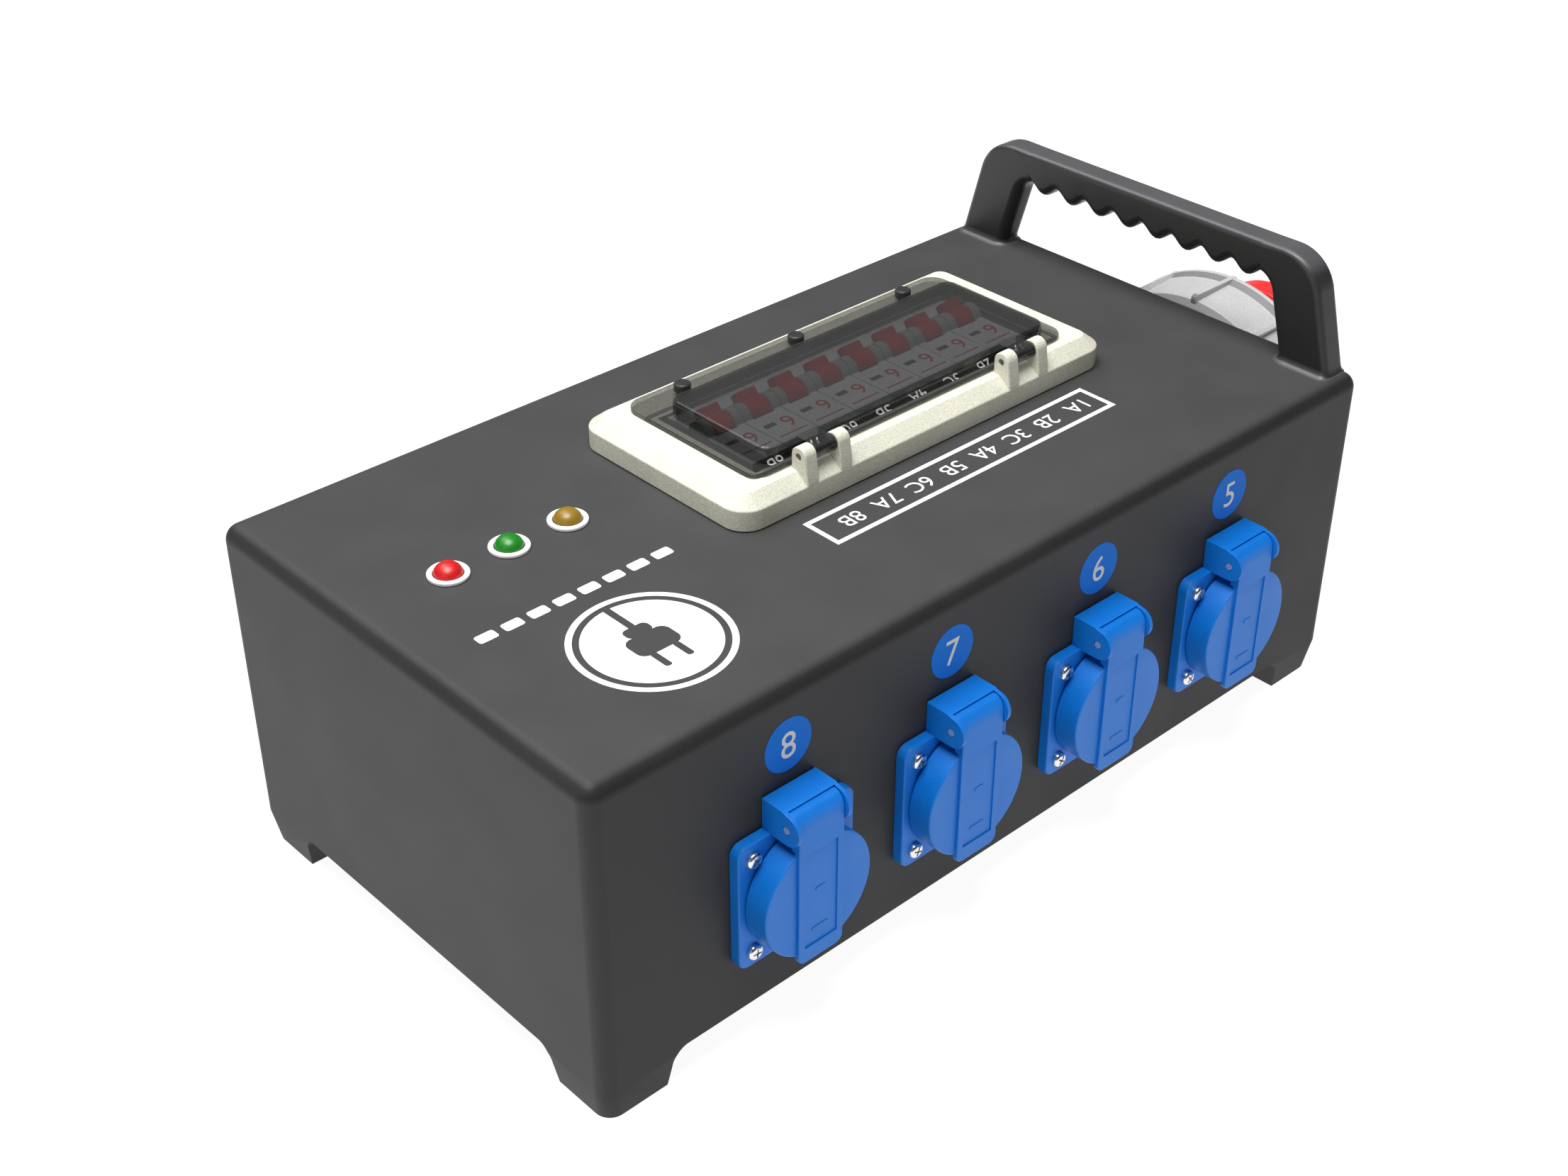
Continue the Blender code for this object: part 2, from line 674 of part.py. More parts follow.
def make_window_lid():
    """The lid has its origin on the hinge axis."""
    axis = Vector((0, HINGE_Y, HINGE_Z))
    flange = slab(FLANGE_X, FLANGE_Y, FLANGE_Z, FLANGE_CORNER, 5)
    lid = add_part("window_lid", moved(flange, 0, -axis.y, -axis.z), "smoky", at=axis)

    dome = slab(DOME_X, DOME_Y, (FLANGE_Z[0] + 0.0005, DOME_TOP), DOME_CORNER, 4)
    round_edges(dome, edges_at(dome, 2, DOME_TOP), DOME_EDGE, 2)
    boolean(lid, moved(dome, 0, -axis.y, -axis.z), "UNION")
    lugs = []
    for middle in HINGE_XS:
        reach = EAR_REACH - EAR_THICK - GAP
        lugs.append(prism(lug_outline(), middle - reach, middle + reach, "x"))
    boolean(lid, moved(several(lugs), 0, -axis.y, -axis.z), "UNION")
    hollow = slab(
        (DOME_X[0] + DOME_WALL, DOME_X[1] - DOME_WALL),
        (DOME_Y[0] + DOME_WALL, DOME_Y[1] - DOME_WALL),
        (FLANGE_Z[0] - THROUGH, DOME_TOP - DOME_WALL),
        DOME_CORNER - DOME_WALL,
        3,
    )
    boolean(lid, moved(hollow, 0, -axis.y, -axis.z))
    boolean(lid, cylinder(HINGE_PIN + GAP, HINGE_XS[0] - 0.02, HINGE_XS[1] + 0.02, 10, "x"))
    holes = [cylinder(0.0016, FLANGE_Z[0] - THROUGH, FLANGE_Z[1] + THROUGH, 12) for _ in STUD_XS]
    studs = several([moved(hole, x, STUD_Y, 0) for hole, x in zip(holes, STUD_XS)])
    boolean(lid, moved(studs, 0, -axis.y, -axis.z))
    settle(lid)

    half = EAR_REACH - GAP
    for side, middle in zip(("left", "right"), HINGE_XS):
        pin = cylinder(HINGE_PIN, -half, half, 10, "x")
        settle(add_part(f"window_pin_{side}", pin, "steel", at=(middle, HINGE_Y, HINGE_Z)))

    head = FLANGE_Z[1] + GAP
    shank = 0.0013
    tail = WINDOW_TOP - 0.0015
    profile = [(0, STUD_TOP), (STUD_RADIUS - 0.0004, STUD_TOP), (STUD_RADIUS, STUD_TOP - 0.0004)]
    profile += [(STUD_RADIUS, head), (shank, head), (shank, tail), (0, tail)]
    for number, x in enumerate(STUD_XS, 1):
        stud = turned(profile, 12)
        settle(add_part(f"lid_stud_{number}", stud, "black", at=(x, STUD_Y, 0)))


def make_label_strip():
    half = (BREAKERS * BREAKER_PITCH) / 2 - GAP
    front = OPENING_Y[0] + 0.0004
    back = BREAKER_FACE_Y[0] - GAP
    outline = [(front, 0.0060), (back, 0.0060), (back, BREAKER_FACE_Z), (front, 0.0086)]
    shape = prism(outline, BREAKER_ROW_X - half, BREAKER_ROW_X + half, "x")
    settle(add_part("label_strip", shape, "black"))


# Breakers


def breaker_outline():
    """A breaker in (y, z): its narrow front stands on a longer body with a foot for the rail."""
    face_low, face_high = BREAKER_FACE_Y
    body_low, body_high = BREAKER_BODY_Y
    return [
        (face_low, BREAKER_FACE_Z),
        (face_low, BREAKER_STEP_Z),
        (body_low, BREAKER_STEP_Z),
        (body_low, BREAKER_BACK_Z),
        (body_high, BREAKER_BACK_Z),
        (body_high, BREAKER_STEP_Z),
        (face_high, BREAKER_STEP_Z),
        (face_high, BREAKER_FACE_Z),
    ]


def breaker_x(number):
    """Breaker 1 is nearest the handle."""
    return BREAKER_ROW_X + ((BREAKERS + 1) / 2 - number) * BREAKER_PITCH


def make_breakers():
    half = BREAKER_WIDTH / 2
    body = prism(breaker_outline(), -half, half, "x")
    first = add_part("breaker_1", body, "breaker_grey", at=(breaker_x(1), 0, 0))
    cheek = moved(cylinder(LEVER_HUB, -half, half, 14, "x"), 0, LEVER_Y, LEVER_Z)
    boolean(first, cheek, "UNION")
    slot = cylinder(LEVER_HUB + 2 * GAP, -LEVER_SLOT / 2, LEVER_SLOT / 2, 14, "x")
    boolean(first, moved(slot, 0, LEVER_Y, LEVER_Z))
    settle(first)
    for number in range(2, BREAKERS + 1):
        add_copy(f"breaker_{number}", first, (breaker_x(number), 0, 0))


def make_levers():
    """A lever has its origin on its pivot, and leans to +Y where its breaker is on."""
    half = LEVER_WIDTH / 2
    hub = cylinder(LEVER_HUB - 0.0002, -half, half, 12, "x")
    place = (breaker_x(1), LEVER_Y, LEVER_Z)
    first = add_part("lever_1", hub, "lever_red", at=place)
    thick = LEVER_THICK / 2
    paddle = block((-half, half), (-thick, thick), (0.002, LEVER_TIP))
    round_edges(paddle, edges_at(paddle, 2, LEVER_TIP), 0.0008, 2)
    paddle.transform(Matrix.Rotation(-LEVER_LEAN, 4, "X"))
    boolean(first, paddle, "UNION")
    settle(first)
    for number in range(2, BREAKERS + 1):
        add_copy(f"lever_{number}", first, (breaker_x(number), LEVER_Y, LEVER_Z))


def make_rail():
    """A 35 mm top-hat rail under the breakers, on two legs that stand on the base plate."""
    middle = (BREAKER_BODY_Y[0] + BREAKER_BODY_Y[1]) / 2
    top = BREAKER_BACK_Z - GAP
    thick = 0.001
    half, crown, depth = 0.0175, 0.0135, 0.0075
    right = [
        (half, top),
        (half, top - thick),
        (crown + thick, top - thick),
        (crown + thick, top - depth),
    ]
    inner = [(crown, top), (crown, top - depth + thick)]
    outline = right + [(-y, z) for y, z in reversed(right)]
    outline += [(-y, z) for y, z in inner] + list(reversed(inner))
    outline = [(middle + y, z) for y, z in outline]
    rail = add_part("din_rail", prism(outline, *RAIL_X, "x"), "sheet_metal")
    foot = -BODY_HEIGHT + 2 * GAP + BASE_PLATE
    legs = []
    for x in (RAIL_X[0] + 0.006, RAIL_X[1] - 0.006):
        height = (foot, top - depth + thick / 2)
        legs.append(block((x - 0.005, x + 0.005), (middle - 0.010, middle + 0.010), height))
    boolean(rail, several(legs), "UNION")
    settle(rail)


# Lamps


def make_lamps():
    hole = LENS_RADIUS + GAP
    bezel = [
        (BEZEL_RADIUS - 0.0004, BEZEL_TOP),
        (BEZEL_RADIUS, BEZEL_TOP - 0.0004),
        (BEZEL_RADIUS, GAP),
        (BEZEL_BARREL, GAP),
        (BEZEL_BARREL, -0.014),
        (hole, -0.014),
        (hole, BEZEL_TOP),
    ]
    rise = LENS_TOP - BEZEL_TOP
    dome = [(r, BEZEL_TOP + h) for r, h in arc((0, 0), (LENS_RADIUS, rise), 90, 0, 3)]
    lens = dome + [(LENS_RADIUS, -0.012), (0, -0.012)]
    for colour, x in LAMPS:
        ring = turned(bezel, 16, closed=True)
        settle(add_part(f"lamp_bezel_{colour}", ring, "white", at=(x, LAMP_Y, 0)))
        settle(add_part(f"lamp_lens_{colour}", turned(lens, 16), f"lamp_{colour}", at=(x, LAMP_Y, 0)))


# Sockets, each in its own frame: X along the case, Y up and Z out of the side


def hinge_block_outline():
    """The hinge block in (z, y): it stands on the flange and ends in ears round the axis."""
    round_end = arc((SOCKET_HINGE_OUT, SOCKET_HINGE_UP), SOCKET_EAR, 90, -90, 6)
    foot = SOCKET_FLANGE / 2 - 0.004
    back = [(SOCKET_FLANGE_TOP - 0.001, SOCKET_HINGE_UP - SOCKET_EAR), (SOCKET_FLANGE_TOP - 0.001, foot)]
    back += [(GAP, foot), (GAP, BLOCK_TOP), (SOCKET_HINGE_OUT - 0.002, BLOCK_TOP)]
    return round_end + back


def across_socket(points, half):
    """A prism along the socket's X on an outline in (z, y)."""
    return prism([(up, out) for out, up in points], -half, half, "x")


def make_socket_housing():
    half = SOCKET_FLANGE / 2
    flange = slab((-half, half), (-half, half), (GAP, SOCKET_FLANGE_TOP), SOCKET_CORNER, 3)
    housing = add_part("socket_housing_1", flange, "socket_blue")
    boolean(housing, across_socket(hinge_block_outline(), BLOCK_WIDTH / 2), "UNION")
    boolean(housing, cylinder(SOCKET_BODY, SOCKET_BACK, SOCKET_FLANGE_TOP - 0.001, 16), "UNION")
    boolean(housing, cylinder(SOCKET_RIM, 0, SOCKET_RIM_TOP, 20), "UNION")
    boolean(housing, cylinder(SOCKET_WELL, SOCKET_WELL_FLOOR, SOCKET_RIM_TOP + THROUGH, 20))
    contacts = []
    for side in (-1, 1):
        hole = cylinder(CONTACT_RADIUS, SOCKET_BACK + 0.005, SOCKET_WELL_FLOOR + THROUGH, 8)
        contacts.append(moved(hole, side * CONTACT_OFFSET, 0, 0))
    boolean(housing, several(contacts))
    between = BLOCK_WIDTH / 2 - SOCKET_EAR_THICK
    bore = BARREL_RADIUS + GAP
    recess = arc((SOCKET_HINGE_OUT, SOCKET_HINGE_UP), bore, 100, 180, 5)
    low = SOCKET_HINGE_UP - SOCKET_EAR - THROUGH
    far = SOCKET_HINGE_OUT + SOCKET_EAR + THROUGH
    recess += [(SOCKET_HINGE_OUT - bore, low), (far, low), (far, BLOCK_TOP + THROUGH)]
    recess += [(BLOCK_OUT, BLOCK_TOP + THROUGH)]
    boolean(housing, across_socket(recess, between))
    settle(housing)
    return housing


def strap_outline():
    """The lid's strap in (z, y): a barrel round the hinge axis, then down over the disc."""
    axis = (SOCKET_HINGE_OUT, SOCKET_HINGE_UP)
    front = arc(axis, (STRAP_FRONT - SOCKET_HINGE_OUT, BARREL_RADIUS), 0, 90, 4)
    back = arc(axis, BARREL_RADIUS, 90, 270, 7)[1:]
    inside = LID_SKIRT + 0.0006
    neck = SOCKET_HINGE_OUT + 0.0006
    rest = [(neck, inside), (STRAP_BACK, inside), (STRAP_BACK, STRAP_END)]
    return front + back + rest + [(STRAP_FRONT, STRAP_END)]


def make_socket_lid():
    """The lid has its origin on its hinge axis."""
    to_axis = {"y": -SOCKET_HINGE_UP, "z": -SOCKET_HINGE_OUT}
    disc = moved(cylinder(LID_RADIUS, LID_BACK, LID_FRONT, 32), **to_axis)
    lid = add_part("socket_lid_1", disc, "socket_blue")
    boolean(lid, moved(cylinder(LID_SKIRT, LID_BACK - THROUGH, LID_INSIDE, 24), **to_axis))
    strap = across_socket(strap_outline(), STRAP_WIDTH / 2)
    boolean(lid, moved(strap, **to_axis), "UNION")
    panel_x = (-PANEL_WIDTH / 2, PANEL_WIDTH / 2)
    panel = block(panel_x, PANEL_Y, (STRAP_FRONT - PANEL_DEPTH, STRAP_FRONT + THROUGH))
    boolean(lid, moved(panel, **to_axis))
    settle(lid)
    return lid


def make_sockets():
    """Sockets 1 to 4 are on the +Y side and 5 to 8 on the -Y side, each from the handle end."""
    housing = make_socket_housing()
    lid = make_socket_lid()
    for side, turn, start in ((1, (90, 0, 180), 1), (-1, (90, 0, 0), 5)):
        face_y = side * CASE_WIDTH / 2
        hinge_y = face_y + side * SOCKET_HINGE_OUT
        for number, x in enumerate(SOCKET_XS, start):
            at = (x, face_y, SOCKET_Z)
            hinge = (x, hinge_y, SOCKET_Z + SOCKET_HINGE_UP)
            if number == 1:
                housing.location = at
                lid.location = hinge
                for part in (housing, lid):
                    part.rotation_euler = Euler([math.radians(angle) for angle in turn])
            else:
                add_copy(f"socket_housing_{number}", housing, at, turn)
                add_copy(f"socket_lid_{number}", lid, hinge, turn)


# Inlet, in a frame whose X runs out of the end face


def make_inlet():
    start = (CASE_LENGTH / 2, 0, INLET_Z)
    half = INLET_FLANGE / 2
    flange = block((GAP, INLET_FLANGE_THICK), (-half, half), (-half, half))
    round_edges(flange, edges_along(flange, 0), 0.006, 3)
    housing = add_part("inlet_housing", flange, "ring_grey", at=start)
    neck_start = INLET_FLANGE_THICK - 0.001
    profile = [
        (0, INSULATOR_X),
        (SHROUD_BORE - GAP, INSULATOR_X),
        (SHROUD_BORE - GAP, INLET_NECK_X),
        (INLET_NECK, INLET_NECK_X),
        (INLET_NECK, neck_start),
        (INLET_BARREL, neck_start),
        (INLET_BARREL, INLET_BACK_X),
        (0, INLET_BACK_X),
    ]
    boolean(housing, turned(profile, 28, "x"), "UNION")
    settle(housing)

    low, high = RING_X
    profile = [
        (RING_BORE + 0.0070, high),
        (RING_LIP - 0.0006, high),
        (RING_LIP, high - 0.0007),
        (RING_LIP, high - 0.0030),
        (RING_RADIUS + 0.0006, high - 0.0038),
        (RING_RADIUS - 0.0006, low + 0.0042),
        (RING_RADIUS - 0.0026, low + 0.0012),
        (RING_RADIUS - 0.0056, low),
        (RING_BORE, low),
        (RING_BORE, low + 0.0150),
        (RING_BORE + 0.0070, low + 0.0150),
    ]
    ring = add_part("inlet_ring", turned(profile, 36, "x", closed=True), "ring_grey", at=start)
    ribs = []
    for number in range(RING_RIBS):
        rib = block(
            (low + 0.0040, high - 0.0020), (-0.0010, 0.0010), (RING_RADIUS - 0.0030, RING_LIP - 0.0002)
        )
        rib.transform(Matrix.Rotation(2 * math.pi * number / RING_RIBS, 4, "X"))
        ribs.append(rib)
    boolean(ring, several(ribs), "UNION")
    settle(ring)

    bearing = RING_BORE - 0.0007
    shoulder = low + 0.0150 + GAP
    profile = [
        (SHROUD_BORE, SHROUD_END_X),
        (SHROUD_COLLAR, SHROUD_END_X),
        (SHROUD_COLLAR, SHROUD_COLLAR_X),
        (SHROUD_RADIUS, SHROUD_COLLAR_X),
        (SHROUD_RADIUS, shoulder + 0.0035),
        (SHROUD_SHOULDER, shoulder + 0.0035),
        (SHROUD_SHOULDER, shoulder),
        (bearing, shoulder),
        (bearing, SHROUD_START_X),
        (SHROUD_BORE, SHROUD_START_X),
    ]
    shroud = add_part("inlet_shroud", turned(profile, 28, "x", closed=True), "inlet_red", at=start)
    inside = (SHROUD_BORE + SHROUD_COLLAR) / 2
    crescent = arc((0, NOSE_UP), NOSE_RADIUS, 25, 155, 14) + arc((0, 0), inside, 135, 45, 6)
    boolean(shroud, prism(crescent, *NOSE_X, "x"), "UNION")
    settle(shroud)

    pin_profile = [
        (0, INLET_PIN_END_X),
        (INLET_PIN_RADIUS - 0.0010, INLET_PIN_END_X),
        (INLET_PIN_RADIUS, INLET_PIN_END_X - 0.0015),
        (INLET_PIN_RADIUS, INSULATOR_X + GAP),
        (0, INSULATOR_X + GAP),
    ]
    for number in range(INLET_PINS):
        angle = math.radians(-90 + 360 * number / INLET_PINS)
        place = (
            start[0],
            INLET_PIN_CIRCLE * math.cos(angle),
            INLET_Z + INLET_PIN_CIRCLE * math.sin(angle),
        )
        pin = turned(pin_profile, 10, "x")
        settle(add_part(f"inlet_pin_{number + 1}", pin, "brass", at=place))


def make_terminal_block():
    """A row of five clamps on the base plate behind the inlet, open at the top for the wires."""
    foot = -BODY_HEIGHT + 2 * GAP + BASE_PLATE
    x = 0.130
    body = block((x - 0.011, x + 0.011), (-0.045, 0.045), (foot, foot + 0.020))
    part = add_part("terminal_block", body, "white")
    wells = []
    for number in range(INLET_PINS):
        y = (number - (INLET_PINS - 1) / 2) * 0.0175
        wells.append(block((x - 0.005, x + 0.005), (y - 0.006, y + 0.006), (foot + 0.008, foot + 0.030)))
    boolean(part, several(wells))
    settle(part)


def main():
    clear_scene()
    new_collection(NAME)
    tools = new_collection("tools")
    tools.hide_render = True
    origin = bpy.data.objects.new("top_centre", None)
    origin.location = (CASE_SHIFT, 0, CASE_HEIGHT)
    bpy.context.scene.collection.objects.link(origin)
    make_case()
    make_handle()
    make_window_base()
    make_gasket()
    make_window_lid()
    make_label_strip()
    make_breakers()
    make_levers()
    make_rail()
    make_lamps()
    make_sockets()
    make_inlet()
    make_terminal_block()
    bpy.context.view_layer.update()


main()
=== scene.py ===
"""Looks for a portable power distribution box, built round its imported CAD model.

Shapes are in metres. Those of the case are measured from the middle of its top face, and those of a socket
from the middle of its flange, with X along the case, Y up and Z out of its side.
"""

import json
import math

import bmesh
import bpy
from mathutils import Matrix, Vector


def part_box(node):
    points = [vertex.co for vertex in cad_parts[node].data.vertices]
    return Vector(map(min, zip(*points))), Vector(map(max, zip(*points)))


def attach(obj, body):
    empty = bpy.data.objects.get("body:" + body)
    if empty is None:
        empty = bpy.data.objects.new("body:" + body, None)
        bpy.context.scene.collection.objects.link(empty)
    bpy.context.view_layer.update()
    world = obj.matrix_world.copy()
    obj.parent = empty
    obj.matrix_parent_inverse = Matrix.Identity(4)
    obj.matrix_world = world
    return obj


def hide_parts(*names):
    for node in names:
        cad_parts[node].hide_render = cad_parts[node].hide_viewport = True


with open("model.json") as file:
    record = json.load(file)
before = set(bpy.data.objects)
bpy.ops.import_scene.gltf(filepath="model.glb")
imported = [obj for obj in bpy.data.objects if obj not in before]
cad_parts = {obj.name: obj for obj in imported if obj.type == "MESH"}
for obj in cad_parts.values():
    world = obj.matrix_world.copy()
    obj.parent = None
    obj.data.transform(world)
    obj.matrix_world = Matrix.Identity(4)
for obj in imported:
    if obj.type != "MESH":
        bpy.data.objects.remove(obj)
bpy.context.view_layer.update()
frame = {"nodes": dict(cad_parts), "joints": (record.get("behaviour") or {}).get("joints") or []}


def middle(node):
    low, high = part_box(node)
    return (low + high) / 2


def at(x=0.0, y=0.0, z=0.0):
    return Matrix.Translation((x, y, z))


def turned_by(degrees, axis):
    return Matrix.Rotation(math.radians(degrees), 4, axis)


def about(width, centre=0.0):
    """The two limits of a width about its middle."""
    return centre - width / 2, centre + width / 2


def within(limits, margin):
    """Two limits, each moved inward by a margin, or outward where it is negative."""
    return limits[0] + margin, limits[1] - margin


GAP = 0.0003  # between two pieces that rest on each other
SEAT_GAP = 0.00005  # under a screw's head
THROUGH = 0.002  # how far a cutter runs past what it cuts
PAINT = 0.00006  # thickness of printed marks
PAINT_GAP = 0.00002  # that keeps them off the surface below

# Case
CASE_LOW, CASE_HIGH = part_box("case_shell")
CASE_SIZE = CASE_HIGH - CASE_LOW
TOP = Vector(((CASE_LOW.x + CASE_HIGH.x) / 2, 0, CASE_HIGH.z))


def box_from_top(node):
    """A CAD node's two corners, measured from the middle of the case's top face."""
    return [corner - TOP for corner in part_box(node)]


CASE_EDGE = 0.006
CASE_WALL = 0.003
BODY_HEIGHT = 0.120  # from the top face to the edge between the feet
TAPER_HEIGHT = 0.0128  # of the feet's narrowing outer faces
FOOT_TAPER = 0.002
FOOT_LENGTH = 0.0265
FOOT_LEAN = 0.0016  # of a foot's inner face
FOOT_FILLET = 0.0064
PLATE_SCREW = (0.0032, 0.0016)  # radius and height of a screw's head
PLATE_SCREW_INSET = 0.010

# Handle
HANDLE_X = 0.1785
HANDLE_DEPTH = 0.012
HANDLE_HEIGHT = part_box("carry_handle")[1].z - TOP.z
HANDLE_OUTER = (0.0943, 0.27)  # half-width at the top face, and its lean inward per metre of height
HANDLE_INNER = (0.0711, 0.29)
HANDLE_OUTER_CORNER = 0.018
HANDLE_INNER_CORNER = 0.008
HANDLE_EDGE = 0.0027  # radius of its outer edges
HANDLE_INNER_EDGE = 0.0042  # and of those round the opening
HANDLE_FLARE = 0.003  # radius of the fillet round each foot
FLARE_OUTWARD = 0.35  # of that on the two sides that meet the case's rounded edges
GRIP_PITCH = 0.0147
GRIP_RIDGES = 8
GRIP_VALLEY = 0.0322
GRIP_DEPTH = 0.0041

# Breaker window
BASE_LOW, BASE_HIGH = box_from_top("window_base")
WINDOW_CORNER = 0.0095
WINDOW_SIDE = 0.00815
WINDOW_CHAMFER = 0.0056
WINDOW_TOP = 0.01255
GASKET_WIDTH = 0.0016
OPENING_X = (-0.0460, 0.1018)
OPENING_Y = (-0.0150, 0.0368)
LID_LOW, LID_HIGH = box_from_top("window_lid")
FLANGE_X = (LID_LOW.x, LID_HIGH.x)
FLANGE_Y = (-0.0197, LID_HIGH.y)
FLANGE_Z = (0.01285, 0.0146)
FLANGE_CORNER = 0.007
DOME_X = (-0.0434, 0.0998)
DOME_Y = (-0.0170, 0.0345)
DOME_TOP = LID_HIGH.z
DOME_WALL = 0.0010
DOME_CORNER = 0.005
DOME_EDGE = 0.0016

# Window hinge
HINGE = Vector(frame["joints"][0]["pos_m"]) - TOP
HINGE_XS = (-0.0238, 0.0778)
EAR_REACH = 0.0107
EAR_THICK = 0.0055
EAR_RADIUS = 0.0036
LUG_RADIUS = 0.0031
HINGE_PIN = 0.0011
STUD_RADIUS = 0.0032
STUD_EDGE = 0.0009
STUD_NECK = 0.0013
STUD_HOLE = 0.0016
STUDS = [(middle(f"lid_stud_{number}") - TOP).xy for number in (1, 2, 3)]

# Breakers
BREAKERS = 8
BREAKER_WIDTH = 0.0173
BREAKER_FACE_Z = 0.0120
BREAKER_FACE_Y = (-0.0089, 0.0361)
BREAKER_BODY_Y = (-0.0274, 0.0546)
BREAKER_STEP_Z = -0.0050
BREAKER_BACK_Z = -0.0580
LEVER_Y = 0.0195
LEVER_Z = 0.0110
LEVER_HUB = 0.0053
LEVER_TIP = 0.0086
LEVER_WIDTH = 0.0092
LEVER_THICK = 0.0045
LEVER_LEAN = 45  # degrees
LEVER_SLOT = 0.0100
RATING_HEIGHT = 0.0072  # of the digit on its front
RATING_PLACE = (0.0036, 0.0050)
TICK = ((-0.0062, -0.0012), (0.0055, 0.0078))
RULE = ((-0.0066, 0.0066), (-0.0022, -0.0016))
LABEL_FRONT = 0.0026  # height of the label strip's front edge
LABEL_MARK_HEIGHT = 0.0048

# Lamps
LAMPS = {colour: (middle(f"lamp_bezel_{colour}") - TOP).xy for colour in ("red", "green", "amber")}
BEZEL_RADIUS = 0.0072
BEZEL_TOP = 0.0014
BEZEL_BARREL = 0.0060
BEZEL_DEPTH = 0.014
LENS_RADIUS = 0.0050
LENS_TOP = 0.0049
LENS_DEPTH = 0.012

# Sockets
SOCKETS = 8
SOCKET_FLANGE = 0.050
SOCKET_FLANGE_TOP = 0.0043
SOCKET_CORNER = 0.004
SOCKET_BODY = 0.0215
SOCKET_WELL = 0.0194
SOCKET_RIM = 0.0203
SOCKET_RIM_TOP = 0.0057
SOCKET_FLOOR = -0.0118
SOCKET_BACK = -0.030
CONTACT_RADIUS = 0.0027
CONTACT_CHAMFER = 0.0012
CONTACT_OFFSET = 0.0095
EARTH_RECESS_Y = (0.0162, 0.0200)
EARTH_RECESS_WIDTH = 0.0064
HINGE_UP = 0.0304
HINGE_OUT = 0.0115
SOCKET_EAR = 0.0058
SOCKET_EAR_THICK = 0.0016
SOCKET_PIN = 0.0015
BLOCK_WIDTH = 0.023
BLOCK_TOP = 0.0369
BLOCK_OUT = 0.0109
BARREL_RADIUS = 0.0056
LID_RADIUS = 0.0229
LID_SKIRT = 0.0211
LID_BACK = 0.0050
LID_FRONT = 0.0145
LID_INSIDE = 0.0129
STRAP_WIDTH = 0.0194
STRAP_FRONT = 0.0156
STRAP_BACK = 0.0134
STRAP_END = -0.0244
STRAP_CORNER = 0.0030
PANEL_WIDTH = 0.0141
PANEL_Y = (-0.0185, 0.0202)
PANEL_DEPTH = 0.0005
PANEL_BARS = ((0.0035, 0.0042), (-0.0125, 0.0070))  # each one's middle and width
SCREW_OFFSET = 0.019
SOCKET_SCREW = (0.0029, 0.0021)
DISC_RADIUS = 0.00985
DISC_THICK = 0.0002
DISC_UP = 0.0515  # of a number disc's middle, above its socket's
DIGIT_HEIGHT = 0.0098

# Inlet, whose distances along its axis are from the end face
INLET_LOW, INLET_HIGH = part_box("inlet_housing")
INLET = Vector((CASE_HIGH.x, 0, middle("inlet_housing").z))
INLET_FLANGE = INLET_HIGH.z - INLET_LOW.z
INLET_FLANGE_THICK = 0.0065
INLET_SCREW = (0.0036, 0.0022)
INLET_SCREW_OFFSET = 0.038
INLET_NECK = 0.0423
INLET_NECK_X = 0.0200
INLET_BACK_X = -0.034
INLET_BARREL = 0.0345
INSULATOR_X = 0.050
RING_X = (0.0220, 0.0545)
RING_BORE = 0.0430
RING_RADIUS = 0.0590
RING_LIP = 0.0608
RING_RIBS = 12
RING_STEP = 0.0150  # from its near end to the step that the shroud's shoulder stops at
SHROUD_START_X = 0.0203
SHROUD_END_X = 0.088
SHROUD_COLLAR_X = 0.073
SHROUD_RADIUS = 0.0385
SHROUD_COLLAR = 0.0422
SHROUD_BORE = 0.0350
SHROUD_SHOULDER = 0.0460
NOSE_X = (0.0760, 0.0870)  # a raised catch on top of the shroud's collar
NOSE_RADIUS = 0.0315
NOSE_UP = 0.0154
INLET_PINS = 5
INLET_PIN_RADIUS = 0.0040
INLET_PIN_END_X = 0.080

# Printed marks, on the case's top face
STRIP_X = (-0.0432, 0.0996)
STRIP_Y = (-0.0528, -0.0353)
STRIP_LINE = 0.0019
STRIP_MARKS = ("1A", "2B", "3C", "4A", "5B", "6C", "7A", "8B")
STRIP_MARK_X = (0.0876, -0.0282)  # middles of the first and the last
STRIP_MARK_HEIGHT = 0.0066
BADGE = (-0.1245, -0.0534)
BADGE_RADIUS = 0.02725
BADGE_LINE = 0.0022
BADGE_DISC = 0.02275
DASH_X = (-0.165, -0.083)
DASH_Y = (-0.0190, -0.0145)
DASHES = 8
DASH_SHARE = 0.72  # of a dash's share of the row that it fills

